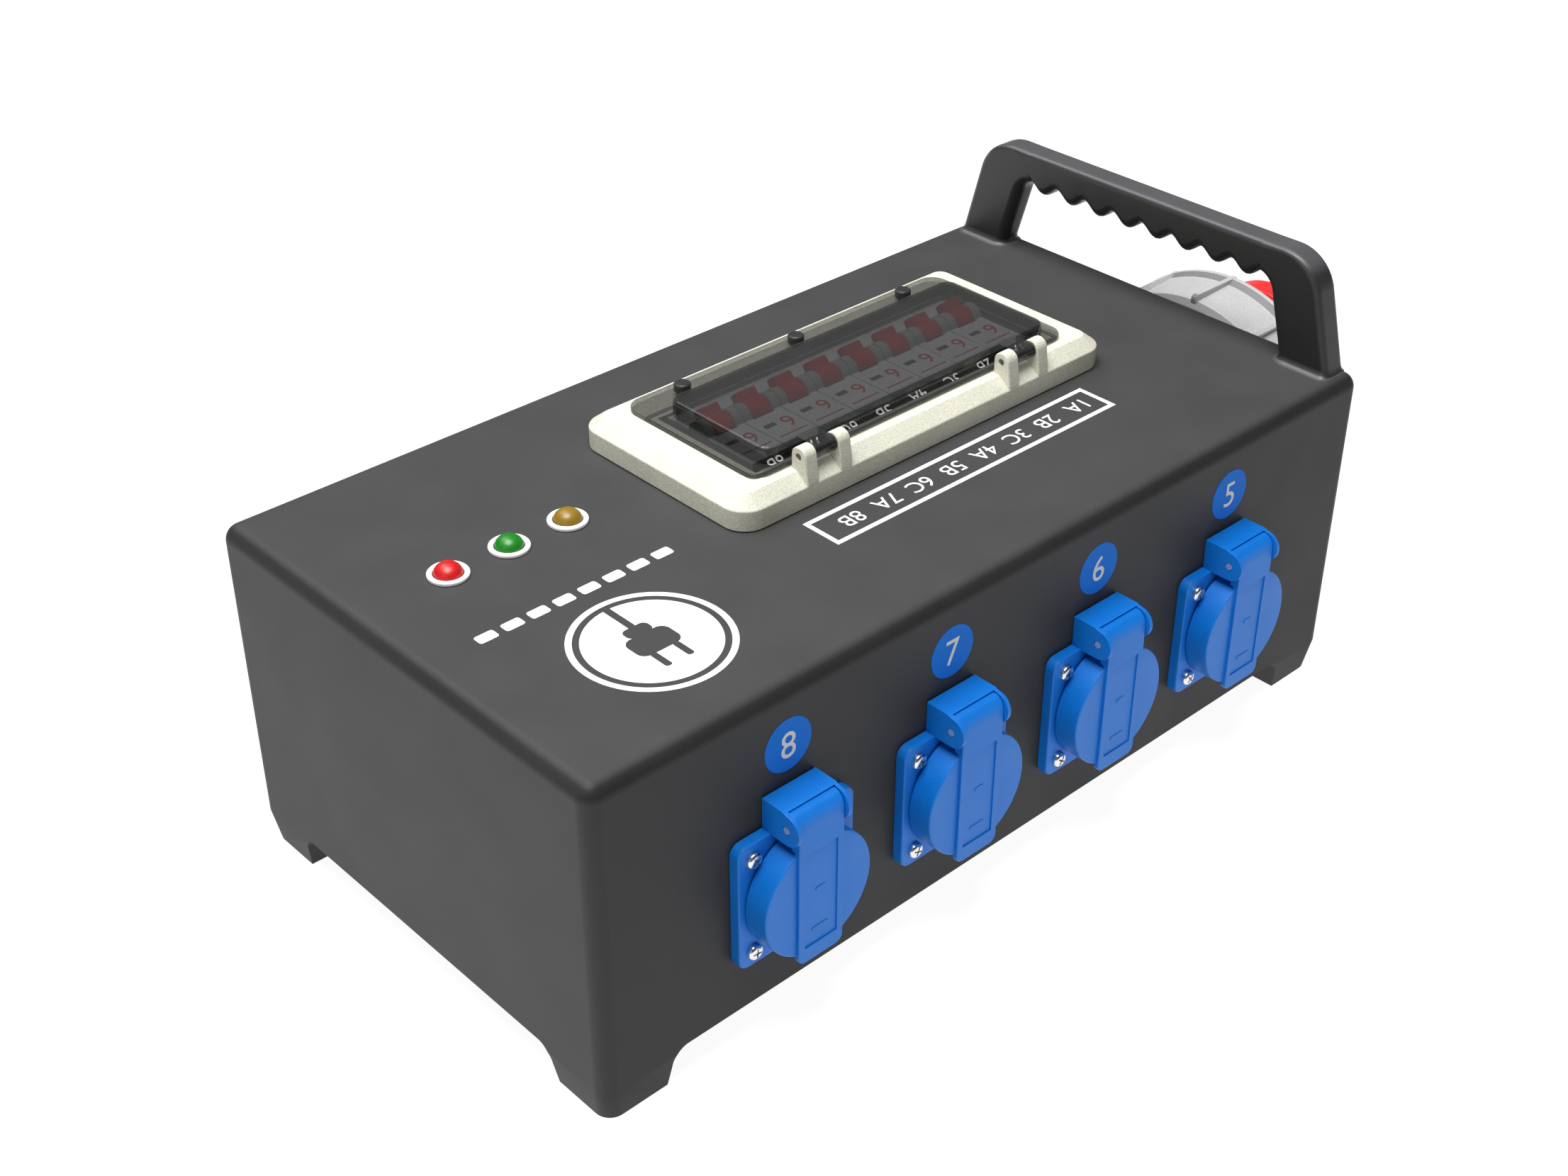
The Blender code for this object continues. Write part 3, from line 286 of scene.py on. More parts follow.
# Looks
LIGHTS = (
    # name, place, what it points at, size and power
    ("key", (-0.35, -0.08, 1.62), (-0.05, 0, 0.1), 1.0, 37),
    ("fill", (-1.9, -0.3, 0.7), (0, 0, 0.1), 1.2, 2),
    ("back", (-0.20, 0.95, 1.45), (0.1, 0, 0.1), 0.8, 7),
)
SKY_GLOW = 0.08
FLOOR_GLOW = 0.94
LABEL_PAINTED_GLOW = 2.4  # painted light: the marks behind the smoked lid glow, though they are no lamp
PLASTICS = (
    # look, slot, screen colour, roughness, then the grain's size, its depth, its speckle and the gloss
    ("rubber", "gasket_rubber", (150, 150, 143), 0.75, 0.0006, 0.00002, 0.3),
    ("cheek", "breaker_plastic", (158, 159, 160), 0.45),
    ("stud", "black_plastic", (54, 54, 55), 0.35),
    ("black", "black_plastic", (30, 30, 31), 0.40),
    ("breaker", "breaker_plastic", (205, 206, 207), 0.45),
    ("lever", "lever_plastic", (190, 30, 42), 0.38),
    ("white", "white_plastic", (248, 248, 246), 0.38, 0.0003, 0.00001, 0.04),
    ("paint", "white_plastic", (246, 246, 246), 0.55, 0.0002, 0.000004, 0.03),
    ("label", "white_plastic", (246, 246, 246), 0.55, 0.0002, 0.000004, 0.03),
    ("print", "grey_plastic", (205, 206, 208), 0.55, 0.0002, 0.000004, 0.04),
    ("red_print", "red_plastic", (190, 24, 34), 0.55, 0.0002, 0.000004, 0.04),
    ("dark_print", "black_plastic", (58, 58, 60), 0.55, 0.0002, 0.000004),
    ("disc", "blue_plastic", (20, 110, 208), 0.60, 0.0003, 0.000006, 0.04, 0.1),
    ("disc_pin", "steel", (120, 140, 190), 0.40),
    ("grey", "grey_plastic", (198, 198, 198), 0.48, 0.0005, 0.00003, 0.24),
    # A darker copy of the grey, as painted shade on the locking ring.
    ("shade", "grey_plastic", (128, 128, 128), 0.48, 0.0005, 0.00003, 0.20),
    ("red", "red_plastic", (244, 52, 54), 0.40, 0.0004),
)
# Plastics with painted light and shade, toned by the direction each face points in.
PAINTED_LIGHT_PLASTICS = (
    # look, slot, screen colour, roughness, gloss, then the painted light and shade of edges, sides and top
    # (below 1 painted shade, above 1 painted highlight), and the speckle
    # The case's rounded upper edges and long sides are painted darker: painted shade.
    ("case", "case_plastic", (71, 71, 72), 0.48, 0.12, 0.50, 0.70, 1.0, 0.12),
    # The handle's long sides are painted darker, and its upper edges and top lighter: painted shade,
    # painted highlight and painted light.
    ("handle", "handle_plastic", (40, 40, 41), 0.36, 0.45, 2.0, 0.5, 4.4, 0.12),
    # The cream frame's edges and sides are painted a little darker: painted shade.
    ("cream", "cream_plastic", (246, 245, 226), 0.50, 0.3, 0.95, 0.80, 1.0, 0.34),
)
METALS = (
    ("steel", "steel", (0.80, 0.80, 0.80), 0.14),
    ("rail", "rail_steel", (0.62, 0.63, 0.60), 0.30),
    ("brass", "brass", (0.80, 0.62, 0.30), 0.18),
)
LENSES = (("lens_red", (215, 14, 20)), ("lens_green", (6, 132, 20)), ("lens_amber", (150, 117, 20)))
# Socket blue: its paler outward faces are painted light.
BLUE_PAINTED_FRONT_LIGHT, BLUE_SIDE = (22, 118, 214), (4, 112, 205)
SMOKE_DARK, SMOKE_PALE = (0.030, 0.030, 0.031, 1), (0.072, 0.072, 0.073, 1)
SMOKE_HAZE = (0.046, 0.046, 0.047, 1)
SMOKE_HOLLOW = (0.0165, 0.0195)  # the heights between which the lid starts to hide more
MIX_INPUTS = ("Factor_Float", "A_Color", "B_Color")  # those of a Mix node that take colours
MIX_RESULT = "Result_Color"

# Camera, at the photograph's viewpoint
CAMERA_PLACE = TOP + Vector((-0.47346, -0.49000, 0.38764))
CAMERA_YAW = 47.153
CAMERA_PITCH = -33.437
CAMERA_LENS = 50

TURN_ALONG = {
    # Takes a prism's length, or a turned shape's axis, from Z to the axis named.
    "x": Matrix(((0, 0, 1, 0), (1, 0, 0, 0), (0, 1, 0, 0), (0, 0, 0, 1))),
    "y": turned_by(90, "X"),
    "z": Matrix.Identity(4),
}
UPSIDE_DOWN = turned_by(180, "Z")  # the marks on top are read from the far side


# Stage


def clear_defaults():
    for name in ("Cube", "Light", "Camera"):
        if name in bpy.data.objects:
            bpy.data.objects.remove(bpy.data.objects[name])


def add_object(name, data):
    made = bpy.data.objects.new(name, data)
    bpy.context.scene.collection.objects.link(made)
    return made


def make_camera():
    camera = add_object("camera", bpy.data.cameras.new("camera"))
    camera.data.lens = CAMERA_LENS
    camera.data.clip_start = 0.01
    camera.location = CAMERA_PLACE
    camera.rotation_euler = (math.radians(90 + CAMERA_PITCH), 0, math.radians(CAMERA_YAW - 90))
    bpy.context.scene.camera = camera


def add_light(name, place, aim, size, power):
    light = add_object(name, bpy.data.lights.new(name, "AREA"))
    light.data.shape = "SQUARE"
    light.data.size = size
    light.data.energy = power
    light.location = place
    light.rotation_euler = (Vector(aim) - Vector(place)).to_track_quat("-Z", "Y").to_euler()


def make_stage():
    """A pale floor that glows a little, as on a light table, a dim world and soft lights."""
    scene = bpy.context.scene
    scene.view_settings.view_transform = "Standard"
    world = bpy.data.worlds.new("world")
    scene.world = world
    world.use_nodes = True
    sky = world.node_tree.nodes["Background"]
    feed(sky, "Color", grey(1))
    feed(sky, "Strength", SKY_GLOW)
    shape = bmesh.new()
    bmesh.ops.create_grid(shape, x_segments=1, y_segments=1, size=6)
    floor = add_object("floor", finished(shape))
    floor.data.materials.append(floor_material())
    for light in LIGHTS:
        add_light(*light)


# Materials


def rgb(red, green, blue):
    """A linear colour from 0 to 255 screen values."""
    values = [channel / 255 for channel in (red, green, blue)]
    return tuple(v / 12.92 if v <= 0.04045 else ((v + 0.055) / 1.055) ** 2.4 for v in values)


def shaded(colour, factor):
    return (*(min(channel * factor, 1) for channel in colour), 1)


def grey(level):
    return level, level, level, 1


def new_material(name):
    made = bpy.data.materials.new(name)
    made.use_nodes = True
    return made, made.node_tree, made.node_tree.nodes["Principled BSDF"]


def feed(node, name, value):
    """Gives a node's input a value, or links another node's output to it."""
    socket = next(s for s in node.inputs if name in (s.identifier, s.name))
    if isinstance(value, bpy.types.NodeSocket):
        node.id_data.links.new(value, socket)
    else:
        socket.default_value = value


def parts(tree, kind):
    """X, Y and Z of a point, where the kind is Object, or of a face's direction, where it is Normal."""
    split = tree.nodes.new("ShaderNodeSeparateXYZ")
    feed(split, "Vector", tree.nodes.new("ShaderNodeTexCoord").outputs[kind])
    return split.outputs


def noise(tree, size, detail=2.0, kind="ShaderNodeTexNoise"):
    """A texture with features of about a given size, in metres, from 0 to 1."""
    texture = tree.nodes.new(kind)
    feed(texture, "Vector", tree.nodes.new("ShaderNodeTexCoord").outputs["Object"])
    feed(texture, "Scale", 1 / size)
    feed(texture, "Detail", detail)
    if kind == "ShaderNodeTexVoronoi":
        return texture.outputs["Distance"]
    return spread(tree, texture.outputs["Fac"], (0.32, 0.68), (0, 1))


def spread(tree, value, before, after):
    """Maps one range of a value to another."""
    node = tree.nodes.new("ShaderNodeMapRange")
    names = ("Value", "From Min", "From Max", "To Min", "To Max")
    for name, number in zip(names, (value, *before, *after)):
        feed(node, name, number)
    return node.outputs["Result"]


def blend(tree, factor, first, second, mode="MIX"):
    """Mixes two colours, either of which may be another node's output."""
    node = tree.nodes.new("ShaderNodeMix")
    node.data_type = "RGBA"
    node.blend_type = mode
    for name, value in zip(MIX_INPUTS, (factor, first, second)):
        feed(node, name, value)
    return next(socket for socket in node.outputs if socket.identifier == MIX_RESULT)


def arithmetic(tree, operation, first, second=0.0):
    node = tree.nodes.new("ShaderNodeMath")
    node.operation = operation
    for socket, value in zip(node.inputs, (first, second)):
        feed(node, socket.identifier, value)
    return node.outputs["Value"]


def relief(tree, shader, height, depth):
    node = tree.nodes.new("ShaderNodeBump")
    for name, value in (("Strength", 1.0), ("Distance", depth), ("Height", height)):
        feed(node, name, value)
    feed(shader, "Normal", node.outputs["Normal"])


def moulded(name, colour, roughness, grain=0.00035, depth=0.00002, speckle=0.08, gloss=0.4):
    """Moulded plastic: a fine spark-eroded grain, slightly uneven in colour and in gloss."""
    made, tree, shader = new_material(name)
    fine = noise(tree, grain)
    cloud = noise(tree, 0.03, 3)
    base = blend(tree, cloud, shaded(colour, 0.95), shaded(colour, 1.05))
    grains = blend(tree, fine, grey(1 - speckle), grey(1))
    feed(shader, "Base Color", blend(tree, 1.0, base, grains, "MULTIPLY"))
    feed(shader, "Roughness", spread(tree, cloud, (0, 1), (roughness - 0.04, roughness + 0.05)))
    feed(shader, "Specular IOR Level", gloss)
    relief(tree, shader, fine, depth)
    return made


def base_of(made):
    """A material's nodes, its shader and what colours it so far."""
    shader = made.node_tree.nodes["Principled BSDF"]
    return made.node_tree, shader, shader.inputs["Base Color"].links[0].from_socket


def cased(name, colour, roughness, gloss, edge, side, top, speckle):
    """A moulded plastic with painted light and shade: a painted tone on its rounded upper edges, long sides
    and top, below 1 painted shade and above 1 painted highlight.
    """
    made = moulded(name, colour, roughness, 0.0004, 0.00002, speckle, gloss)
    tree, shader, plain = base_of(made)
    _, along, up = parts(tree, "Normal")
    above = spread(tree, up, (0.05, 0.40), (0, 1))
    below = spread(tree, up, (0.78, 0.97), (1, 0))
    painted_edge_tone_mask = arithmetic(tree, "MULTIPLY", above, below)
    painted_side_shade_mask = arithmetic(tree, "ABSOLUTE", along)
    painted_top_light_mask = spread(tree, up, (0.60, 0.98), (0, 1))
    # Each painted tone multiplies the colour where its mask holds: painted shade below 1, painted highlight
    # above 1.
    for place, painted_tone in ((painted_edge_tone_mask, edge), (painted_side_shade_mask, side), (painted_top_light_mask, top)):
        plain = blend(tree, place, plain, blend(tree, 1.0, plain, grey(painted_tone), "MULTIPLY"))
    feed(shader, "Base Color", plain)
    return made


def faced(name, front, side, roughness, gloss):
    """A socket's plastic, with painted light: a little paler on the faces that point out of its side."""
    made = moulded(name, side, roughness, 0.0004, 0.00003, 0.20, gloss)
    tree, shader, plain = base_of(made)
    # Faces pointing out of the socket's side get the paler blue: painted light.
    painted_light_outward = spread(tree, parts(tree, "Normal")[2], (0.6, 0.98), (0, 1))
    feed(shader, "Base Color", blend(tree, painted_light_outward, plain, shaded(front, 1)))
    return made


def metal(name, colour, roughness):
    """Bright metal with a fine grain and a little haze."""
    made, tree, shader = new_material(name)
    haze = noise(tree, 0.0015, 4)
    feed(shader, "Metallic", 1.0)
    feed(shader, "Base Color", blend(tree, haze, shaded(colour, 0.88), shaded(colour, 1.0)))
    feed(shader, "Roughness", spread(tree, haze, (0, 1), (roughness, roughness + 0.12)))
    relief(tree, shader, noise(tree, 0.0004, 3), 0.000008)
    return made


def lens_material(name, colour):
    """A lamp's moulded lens, whose flakes sparkle under a smooth skin."""
    made, tree, shader = new_material(name)
    flakes = spread(tree, noise(tree, 0.00045, kind="ShaderNodeTexVoronoi"), (0.1, 0.7), (0, 1))
    base = blend(tree, flakes, shaded(colour, 1.25), shaded(colour, 0.72))
    feed(shader, "Base Color", blend(tree, noise(tree, 0.00025, 1), base, shaded(colour, 1.05)))
    feed(shader, "Roughness", spread(tree, flakes, (0, 1), (0.30, 0.42)))
    feed(shader, "Coat Weight", 0.35)
    feed(shader, "Coat Roughness", 0.22)
    relief(tree, shader, flakes, 0.00006)
    return made


def smoky_material(name):
    """Smoked clear plastic with painted shade: its upright walls hide more and are painted near black, and
    it hides more over the hollow.
    """
    made, tree, shader = new_material(name)
    level = arithmetic(tree, "ABSOLUTE", parts(tree, "Normal")[2])
    over_hollow = spread(tree, parts(tree, "Object")[2], SMOKE_HOLLOW, (0.0, 0.05))
    veil = arithmetic(tree, "ADD", spread(tree, level, (0.35, 0.95), (0.60, 0.38)), over_hollow)
    flecks = spread(tree, noise(tree, 0.0005), (0, 1), (0.0, 0.10))
    feed(shader, "Alpha", arithmetic(tree, "ADD", veil, flecks))
    haze = noise(tree, 0.02, 3)
    smoke = blend(tree, haze, SMOKE_HAZE, blend(tree, noise(tree, 0.0006), SMOKE_DARK, SMOKE_PALE))
    # Upright walls get a near-black colour instead of the smoke: painted shade.
    lying = spread(tree, level, (0.35, 0.95), (0, 1))
    feed(shader, "Base Color", blend(tree, lying, grey(0.010), smoke))
    feed(shader, "Roughness", spread(tree, haze, (0, 1), (0.10, 0.16)))
    feed(shader, "IOR", 1.5)
    return made


def glowing(made, strength):
    shader = made.node_tree.nodes["Principled BSDF"]
    feed(shader, "Emission Color", grey(1))
    feed(shader, "Emission Strength", strength)
    return made


def floor_material():
    made, tree, shader = new_material("floor")
    feed(shader, "Base Color", blend(tree, noise(tree, 0.4, 3), grey(0.20), grey(0.21)))
    feed(shader, "Roughness", 0.85)
    return glowing(made, FLOOR_GLOW)


def make_looks():
    """Each look's material, with the slot of the record that it belongs to."""
    looks = {}
    for kind, rows in ((moulded, PLASTICS), (cased, PAINTED_LIGHT_PLASTICS)):
        for name, slot, colour, *rest in rows:
            looks[name] = (kind(name, rgb(*colour), *rest), slot)
    for name, slot, colour, roughness in METALS:
        looks[name] = (metal(name, colour, roughness), slot)
    for name, colour in LENSES:
        looks[name] = (lens_material(name, rgb(*colour)), name)
    looks["blue"] = (faced("blue", rgb(*BLUE_PAINTED_FRONT_LIGHT), rgb(*BLUE_SIDE), 0.45, 0.3), "blue_plastic")
    looks["smoky"] = (smoky_material("smoky"), "smoky_plastic")
    # The label marks glow: painted light that lifts them out of the shade under the smoked lid.
    glowing(looks["label"][0], LABEL_PAINTED_GLOW)
    return looks


# Shapes, as bmeshes


def block(x, y, z):
    """A box between three pairs of limits."""
    shape = bmesh.new()
    bmesh.ops.create_cube(shape, size=1)
    lows = Vector((x[0], y[0], z[0]))
    highs = Vector((x[1], y[1], z[1]))
    for vert in shape.verts:
        vert.co = Vector(low + (co + 0.5) * (high - low) for low, high, co in zip(lows, highs, vert.co))
    return shape


def edges_along(shape, axis):
    runs = [(edge, edge.verts[1].co - edge.verts[0].co) for edge in shape.edges]
    return [edge for edge, run in runs if abs(run[axis]) > 0.99 * run.length]


def edges_at(shape, axis, value):
    return [edge for edge in shape.edges if all(abs(v.co[axis] - value) < 1e-6 for v in edge.verts)]


def round_edges(shape, edges, radius, segments):
    bmesh.ops.bevel(shape, geom=edges, offset=radius, segments=segments, profile=0.5, affect="EDGES")
    return shape


def slab(x, y, z, corner, segments=8, edge=0.0):
    """A box with its upright edges rounded, and its upper edge by a smaller radius."""
    shape = block(x, y, z)
    round_edges(shape, edges_along(shape, 2), corner, segments)
    if edge:
        round_edges(shape, edges_at(shape, 2, z[1]), edge, 3)
    return shape


def cylinder(radius, low, high, steps=64, along="z"):
    shape = bmesh.new()
    bmesh.ops.create_cone(
        shape, cap_ends=True, segments=steps, radius1=radius, radius2=radius, depth=high - low
    )
    moved(shape, z=(low + high) / 2)
    shape.transform(TURN_ALONG[along])
    return shape


def evaluated(guide):
    """The mesh that a temporary object's modifiers make. The object is then removed."""
    bpy.context.view_layer.update()
    graph = bpy.context.evaluated_depsgraph_get()
    mesh = bpy.data.meshes.new_from_object(guide.evaluated_get(graph))
    bpy.data.objects.remove(guide)
    return mesh


def from_object(guide):
    mesh = evaluated(guide)
    shape = bmesh.new()
    shape.from_mesh(mesh)
    bpy.data.meshes.remove(mesh)
    return shape


def merge_flat(shape, distance=2e-6):
    """Merges doubled corners, and edges between faces that lie in one plane."""
    bmesh.ops.remove_doubles(shape, verts=shape.verts, dist=distance)
    flat = math.radians(0.5)
    bmesh.ops.dissolve_limit(shape, angle_limit=flat, verts=shape.verts, edges=shape.edges)


def to_guide(shape):
    mesh = bpy.data.meshes.new("guide")
    shape.to_mesh(mesh)
    return add_object("guide", mesh)


def combine(operation, shape, *tools):
    for tool in tools:
        guide, cutter = to_guide(shape), to_guide(tool)
        modifier = guide.modifiers.new("combine", "BOOLEAN")
        modifier.operation = operation
        modifier.object = cutter
        shape = from_object(guide)
        bpy.data.objects.remove(cutter)
    return shape


def cut(shape, *tools):
    return combine("DIFFERENCE", shape, *tools)


def join(shape, *tools):
    return combine("UNION", shape, *tools)


def rounded(shape, width=0.0003, segments=2, angle=40):
    """Rounds every edge that is sharper than an angle, after merging what a Boolean left split."""
    merge_flat(shape)
    guide = to_guide(shape)
    bevel = guide.modifiers.new("round", "BEVEL")
    bevel.width = width
    bevel.segments = segments
    bevel.limit_method = "ANGLE"
    bevel.angle_limit = math.radians(angle)
    bevel.use_clamp_overlap = True
    return from_object(guide)


def prism(points, low, high, along="z"):
    """A prism on a flat outline. Along X the outline is in (y, z), and along Y it is in (x, z)."""
    scale = 1000  # the curve is filled in millimetres, where its tolerances are small
    curve = bpy.data.curves.new("outline", "CURVE")
    curve.dimensions = "2D"
    curve.fill_mode = "BOTH"
    curve.extrude = scale * (high - low) / 2
    spline = curve.splines.new("POLY")
    spline.points.add(len(points) - 1)
    for point, (across, up) in zip(spline.points, points):
        point.co = (scale * across, scale * up, 0, 1)
    spline.use_cyclic_u = True
    shape = from_object(add_object("outline", curve))
    merge_flat(shape, 1e-4)
    bmesh.ops.recalc_face_normals(shape, faces=shape.faces)
    shape.transform(Matrix.Scale(1 / scale, 4))
    centre = (low + high) / 2
    moved(shape, z=-centre if along == "y" else centre)
    shape.transform(TURN_ALONG[along])
    return shape


def turned(profile, steps=64, along="z"):
    """A turned solid from (radius, height) points, or a ring where they start off the axis."""
    shape = bmesh.new()
    verts = [shape.verts.new((radius, 0, height)) for radius, height in profile]
    for first, second in zip(verts, verts[1:]):
        shape.edges.new((first, second))
    if profile[0][0] > 0:
        shape.edges.new((verts[-1], verts[0]))
    guide = to_guide(shape)
    screw = guide.modifiers.new("turn", "SCREW")
    screw.steps = screw.render_steps = steps
    screw.use_merge_vertices = True
    screw.merge_threshold = 1e-6
    solid = from_object(guide)
    bmesh.ops.recalc_face_normals(solid, faces=solid.faces)
    solid.transform(TURN_ALONG[along])
    return solid


def arc(centre, radius, start, end, steps):
    """Points on a circle, or on an ellipse where radius is a pair, between two angles in degrees."""
    wide, high = radius if isinstance(radius, tuple) else (radius, radius)
    angles = [math.radians(start + (end - start) * i / steps) for i in range(steps + 1)]
    return [(centre[0] + wide * math.cos(a), centre[1] + high * math.sin(a)) for a in angles]


def stairs(start, *turns):
    """Points from a first one, where first the second coordinate changes, then the other, in turn."""
    points = [start]
    for number, value in enumerate(turns):
        across, up = points[-1]
        points.append((value, up) if number % 2 else (across, value))
    return points


def eased(profile, radius, steps=3):
    """An outline with each corner rounded, by cutting it back and bending through it."""
    points = []
    count = len(profile)
    for i, corner in enumerate(profile):
        corner = Vector(corner)
        before = Vector(profile[i - 1]) - corner
        after = Vector(profile[(i + 1) % count]) - corner
        reach = min(radius, before.length * 0.45, after.length * 0.45)
        start = corner + before.normalized() * reach
        end = corner + after.normalized() * reach
        for step in range(steps + 1):
            t = step / steps
            points.append(tuple((1 - t) ** 2 * start + 2 * t * (1 - t) * corner + t**2 * end))
    return points


def several(shapes):
    """One mesh that holds several separate shapes."""
    whole = bmesh.new()
    for shape in shapes:
        mesh = bpy.data.meshes.new("piece")
        shape.to_mesh(mesh)
        whole.from_mesh(mesh)
        bpy.data.meshes.remove(mesh)
    return whole


def moved(shape, x=0, y=0, z=0):
    bmesh.ops.translate(shape, verts=shape.verts, vec=(x, y, z))
    return shape


def printed(shape):
    """Makes a flat shape about z = 0 into a print that lies just above it."""
    for vert in shape.verts:
        vert.co.z = PAINT_GAP + (PAINT if vert.co.z > 0 else 0)
    return shape


def lettering(text, height):
    """Printed text in the XY plane, centred on the origin, with marks of a given height."""
    curve = bpy.data.curves.new("text", "FONT")
    curve.body = text
    curve.size = 10
    curve.resolution_u = 6
    curve.extrude = 0.5
    shape = from_object(add_object("text", curve))
    xs, ys = zip(*(vert.co.xy for vert in shape.verts))
    moved(shape, -(min(xs) + max(xs)) / 2, -(min(ys) + max(ys)) / 2)
    shape.transform(Matrix.Scale(height / (max(ys) - min(ys)), 4))
    return printed(shape)


# Pieces


def finished(shape, sharp=35):
    """A shape's mesh, shaded smooth with sharp edges left sharp and its flat faces kept flat."""
    guide = to_guide(shape)
    mesh = guide.data
    mesh.shade_smooth()
    mesh.set_sharp_from_angle(angle=math.radians(sharp))
    guide.modifiers.new("weighted", "WEIGHTED_NORMAL").keep_sharp = True
    done = evaluated(guide)
    bpy.data.meshes.remove(mesh)
    return done


def show(name, mesh, look, node=None, body="case", place=None):
    """A piece that rides on a body, stands on the case's top unless placed, and may replace a CAD node."""
    if isinstance(mesh, bmesh.types.BMesh):
        mesh = finished(mesh)
    material, slot = LOOKS[look]
    if not mesh.materials:
        mesh.materials.append(material)
    piece = add_object(name, mesh)
    piece.matrix_world = at(*TOP) if place is None else place
    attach(piece, body)
    if node:
        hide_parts(node)


def dress(node, look):
    """A CAD node keeps its shape and gets a better material."""
    for slot in frame["nodes"][node].material_slots:
        slot.material = LOOKS[look][0]


def two_looks(mesh, first, second, takes_second):
    """Gives a mesh one look, and another on the faces that a test picks."""
    for look in (first, second):
        mesh.materials.append(LOOKS[look][0])
    for face in mesh.polygons:
        face.material_index = int(takes_second(face))


# Case


def case_outside(grow=0.0):
    """The outside of the case: a box whose last stretch narrows towards the feet's undersides."""
    x, y = within(about(CASE_SIZE.x), -grow), within(about(CASE_SIZE.y), -grow)
    shape = block(x, y, (TAPER_HEIGHT - CASE_SIZE.z, grow))
    bottom = min(shape.faces, key=lambda face: face.calc_center_median().z)
    foot = bmesh.ops.extrude_discrete_faces(shape, faces=[bottom])["faces"][0]
    for vert in foot.verts:
        vert.co.x *= 1 - FOOT_TAPER / x[1]
        vert.co.y *= 1 - FOOT_TAPER / y[1]
        vert.co.z = -CASE_SIZE.z
    upright = [edge for edge in shape.edges if abs(edge.verts[0].co.z - edge.verts[1].co.z) > 1e-4]
    return round_edges(shape, upright + edges_at(shape, 2, grow), CASE_EDGE + grow, 10)


def foot_gap(half_length):
    """The outline of the space between two feet, in (along, z): its upper corners are filleted."""
    edge = half_length - FOOT_LENGTH
    centre = (edge - FOOT_LEAN - FOOT_FILLET, -BODY_HEIGHT - FOOT_FILLET)
    right = [(edge, -CASE_SIZE.z - THROUGH)] + arc(centre, FOOT_FILLET, 0, 90, 12)
    left = [(-across, up) for across, up in reversed(right)]
    return right + left


def case_openings():
    """Cutters for the sockets, the window, the lamps and the inlet."""
    deep = (-CASE_WALL - THROUGH, THROUGH)
    sockets = [cylinder(SOCKET_BODY + 0.0005, *deep) for _ in range(SOCKETS)]
    for number, hole in enumerate(sockets, 1):
        hole.transform(at(*-TOP) @ socket_frame(number))
    lamps = [moved(cylinder(BEZEL_BARREL + 2 * GAP, *deep, 32), x, y) for x, y in LAMPS.values()]
    inlet = moved(cylinder(INLET_BARREL + 0.001, *deep, 64, "x"), *(INLET - TOP))
    return several([*sockets, *lamps, block(OPENING_X, OPENING_Y, deep), inlet])


def make_case():
    x, y = about(CASE_SIZE.x), about(CASE_SIZE.y)
    inside = (-BODY_HEIGHT - 0.0005, -CASE_WALL)
    cavity = slab(within(x, CASE_WALL), within(y, CASE_WALL), inside, CASE_EDGE - CASE_WALL, 4)
    ends = prism(foot_gap(x[1]), *within(y, -THROUGH), "y")
    sides = prism(foot_gap(y[1]), *within(x, -THROUGH), "x")
    shape = cut(case_outside(), cavity, ends, sides, case_openings())
    show("shell", rounded(shape, 0.0005), "case", "case_shell")

    dress("base_plate", "case")
    low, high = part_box("base_plate")
    first, last = within((low.x, high.x), PLATE_SCREW_INSET)
    ys = within((low.y, high.y), PLATE_SCREW_INSET)
    head = screw_head(*PLATE_SCREW)
    spots = [(x, y) for x in (first, (first + last) / 2, last) for y in ys]
    for number, (x, y) in enumerate(spots, 1):
        place = at(x, y, low.z - SEAT_GAP) @ turned_by(180, "X")
        show(f"plate_screw_{number}", head, "steel", place=place)


def screw_head(radius, height):
    """A pan head with a cross recess, standing on z = 0, as a mesh for several screws."""
    crown = arc((radius * 0.42, height * 0.40), (radius * 0.58, height * 0.60), 90, 0, 8)
    shape = turned([(0, height)] + crown + [(radius, 0), (0, 0)], 32)
    arm = about(radius * 1.24)
    width = about(radius * 0.22)
    deep = (height * 0.45, height + THROUGH)
    return finished(cut(shape, block(arm, width, deep), block(width, arm, deep)), 30)


# Handle


def handle_lines():
    """Pairs of (y, z) points on the handle's outer and inner outline, from the +Y post to the middle."""
    outer_y, outer_lean = HANDLE_OUTER
    inner_y, inner_lean = HANDLE_INNER

    def corner(base, lean, level, radius):
        """A fillet between a leaning line and a level one above it."""
        angle = math.atan(lean)
        centre_z = level - radius
        centre_y = base - lean * centre_z - radius / math.cos(angle)
        return arc((centre_y, centre_z), radius, math.degrees(angle), 90, 14)

    outer = corner(outer_y, outer_lean, HANDLE_HEIGHT, HANDLE_OUTER_CORNER)
    inner = corner(inner_y, inner_lean, GRIP_VALLEY, HANDLE_INNER_CORNER)
    heights = [-CASE_EDGE, 0] + [HANDLE_FLARE * (i / 10) ** 2 for i in range(1, 11)]
    posts = [((outer_y - outer_lean * z, z), (inner_y - inner_lean * z, z)) for z in heights]
    bar = []
    phases = 12
    for i in range(GRIP_RIDGES // 2 * phases, -1, -1):
        y = i * GRIP_PITCH / phases
        wave = 0.5 - 0.5 * math.cos(2 * math.pi * y / GRIP_PITCH)
        bar.append(((y, HANDLE_HEIGHT), (y, GRIP_VALLEY - GRIP_DEPTH * wave)))
    return posts + list(zip(outer, inner)) + bar


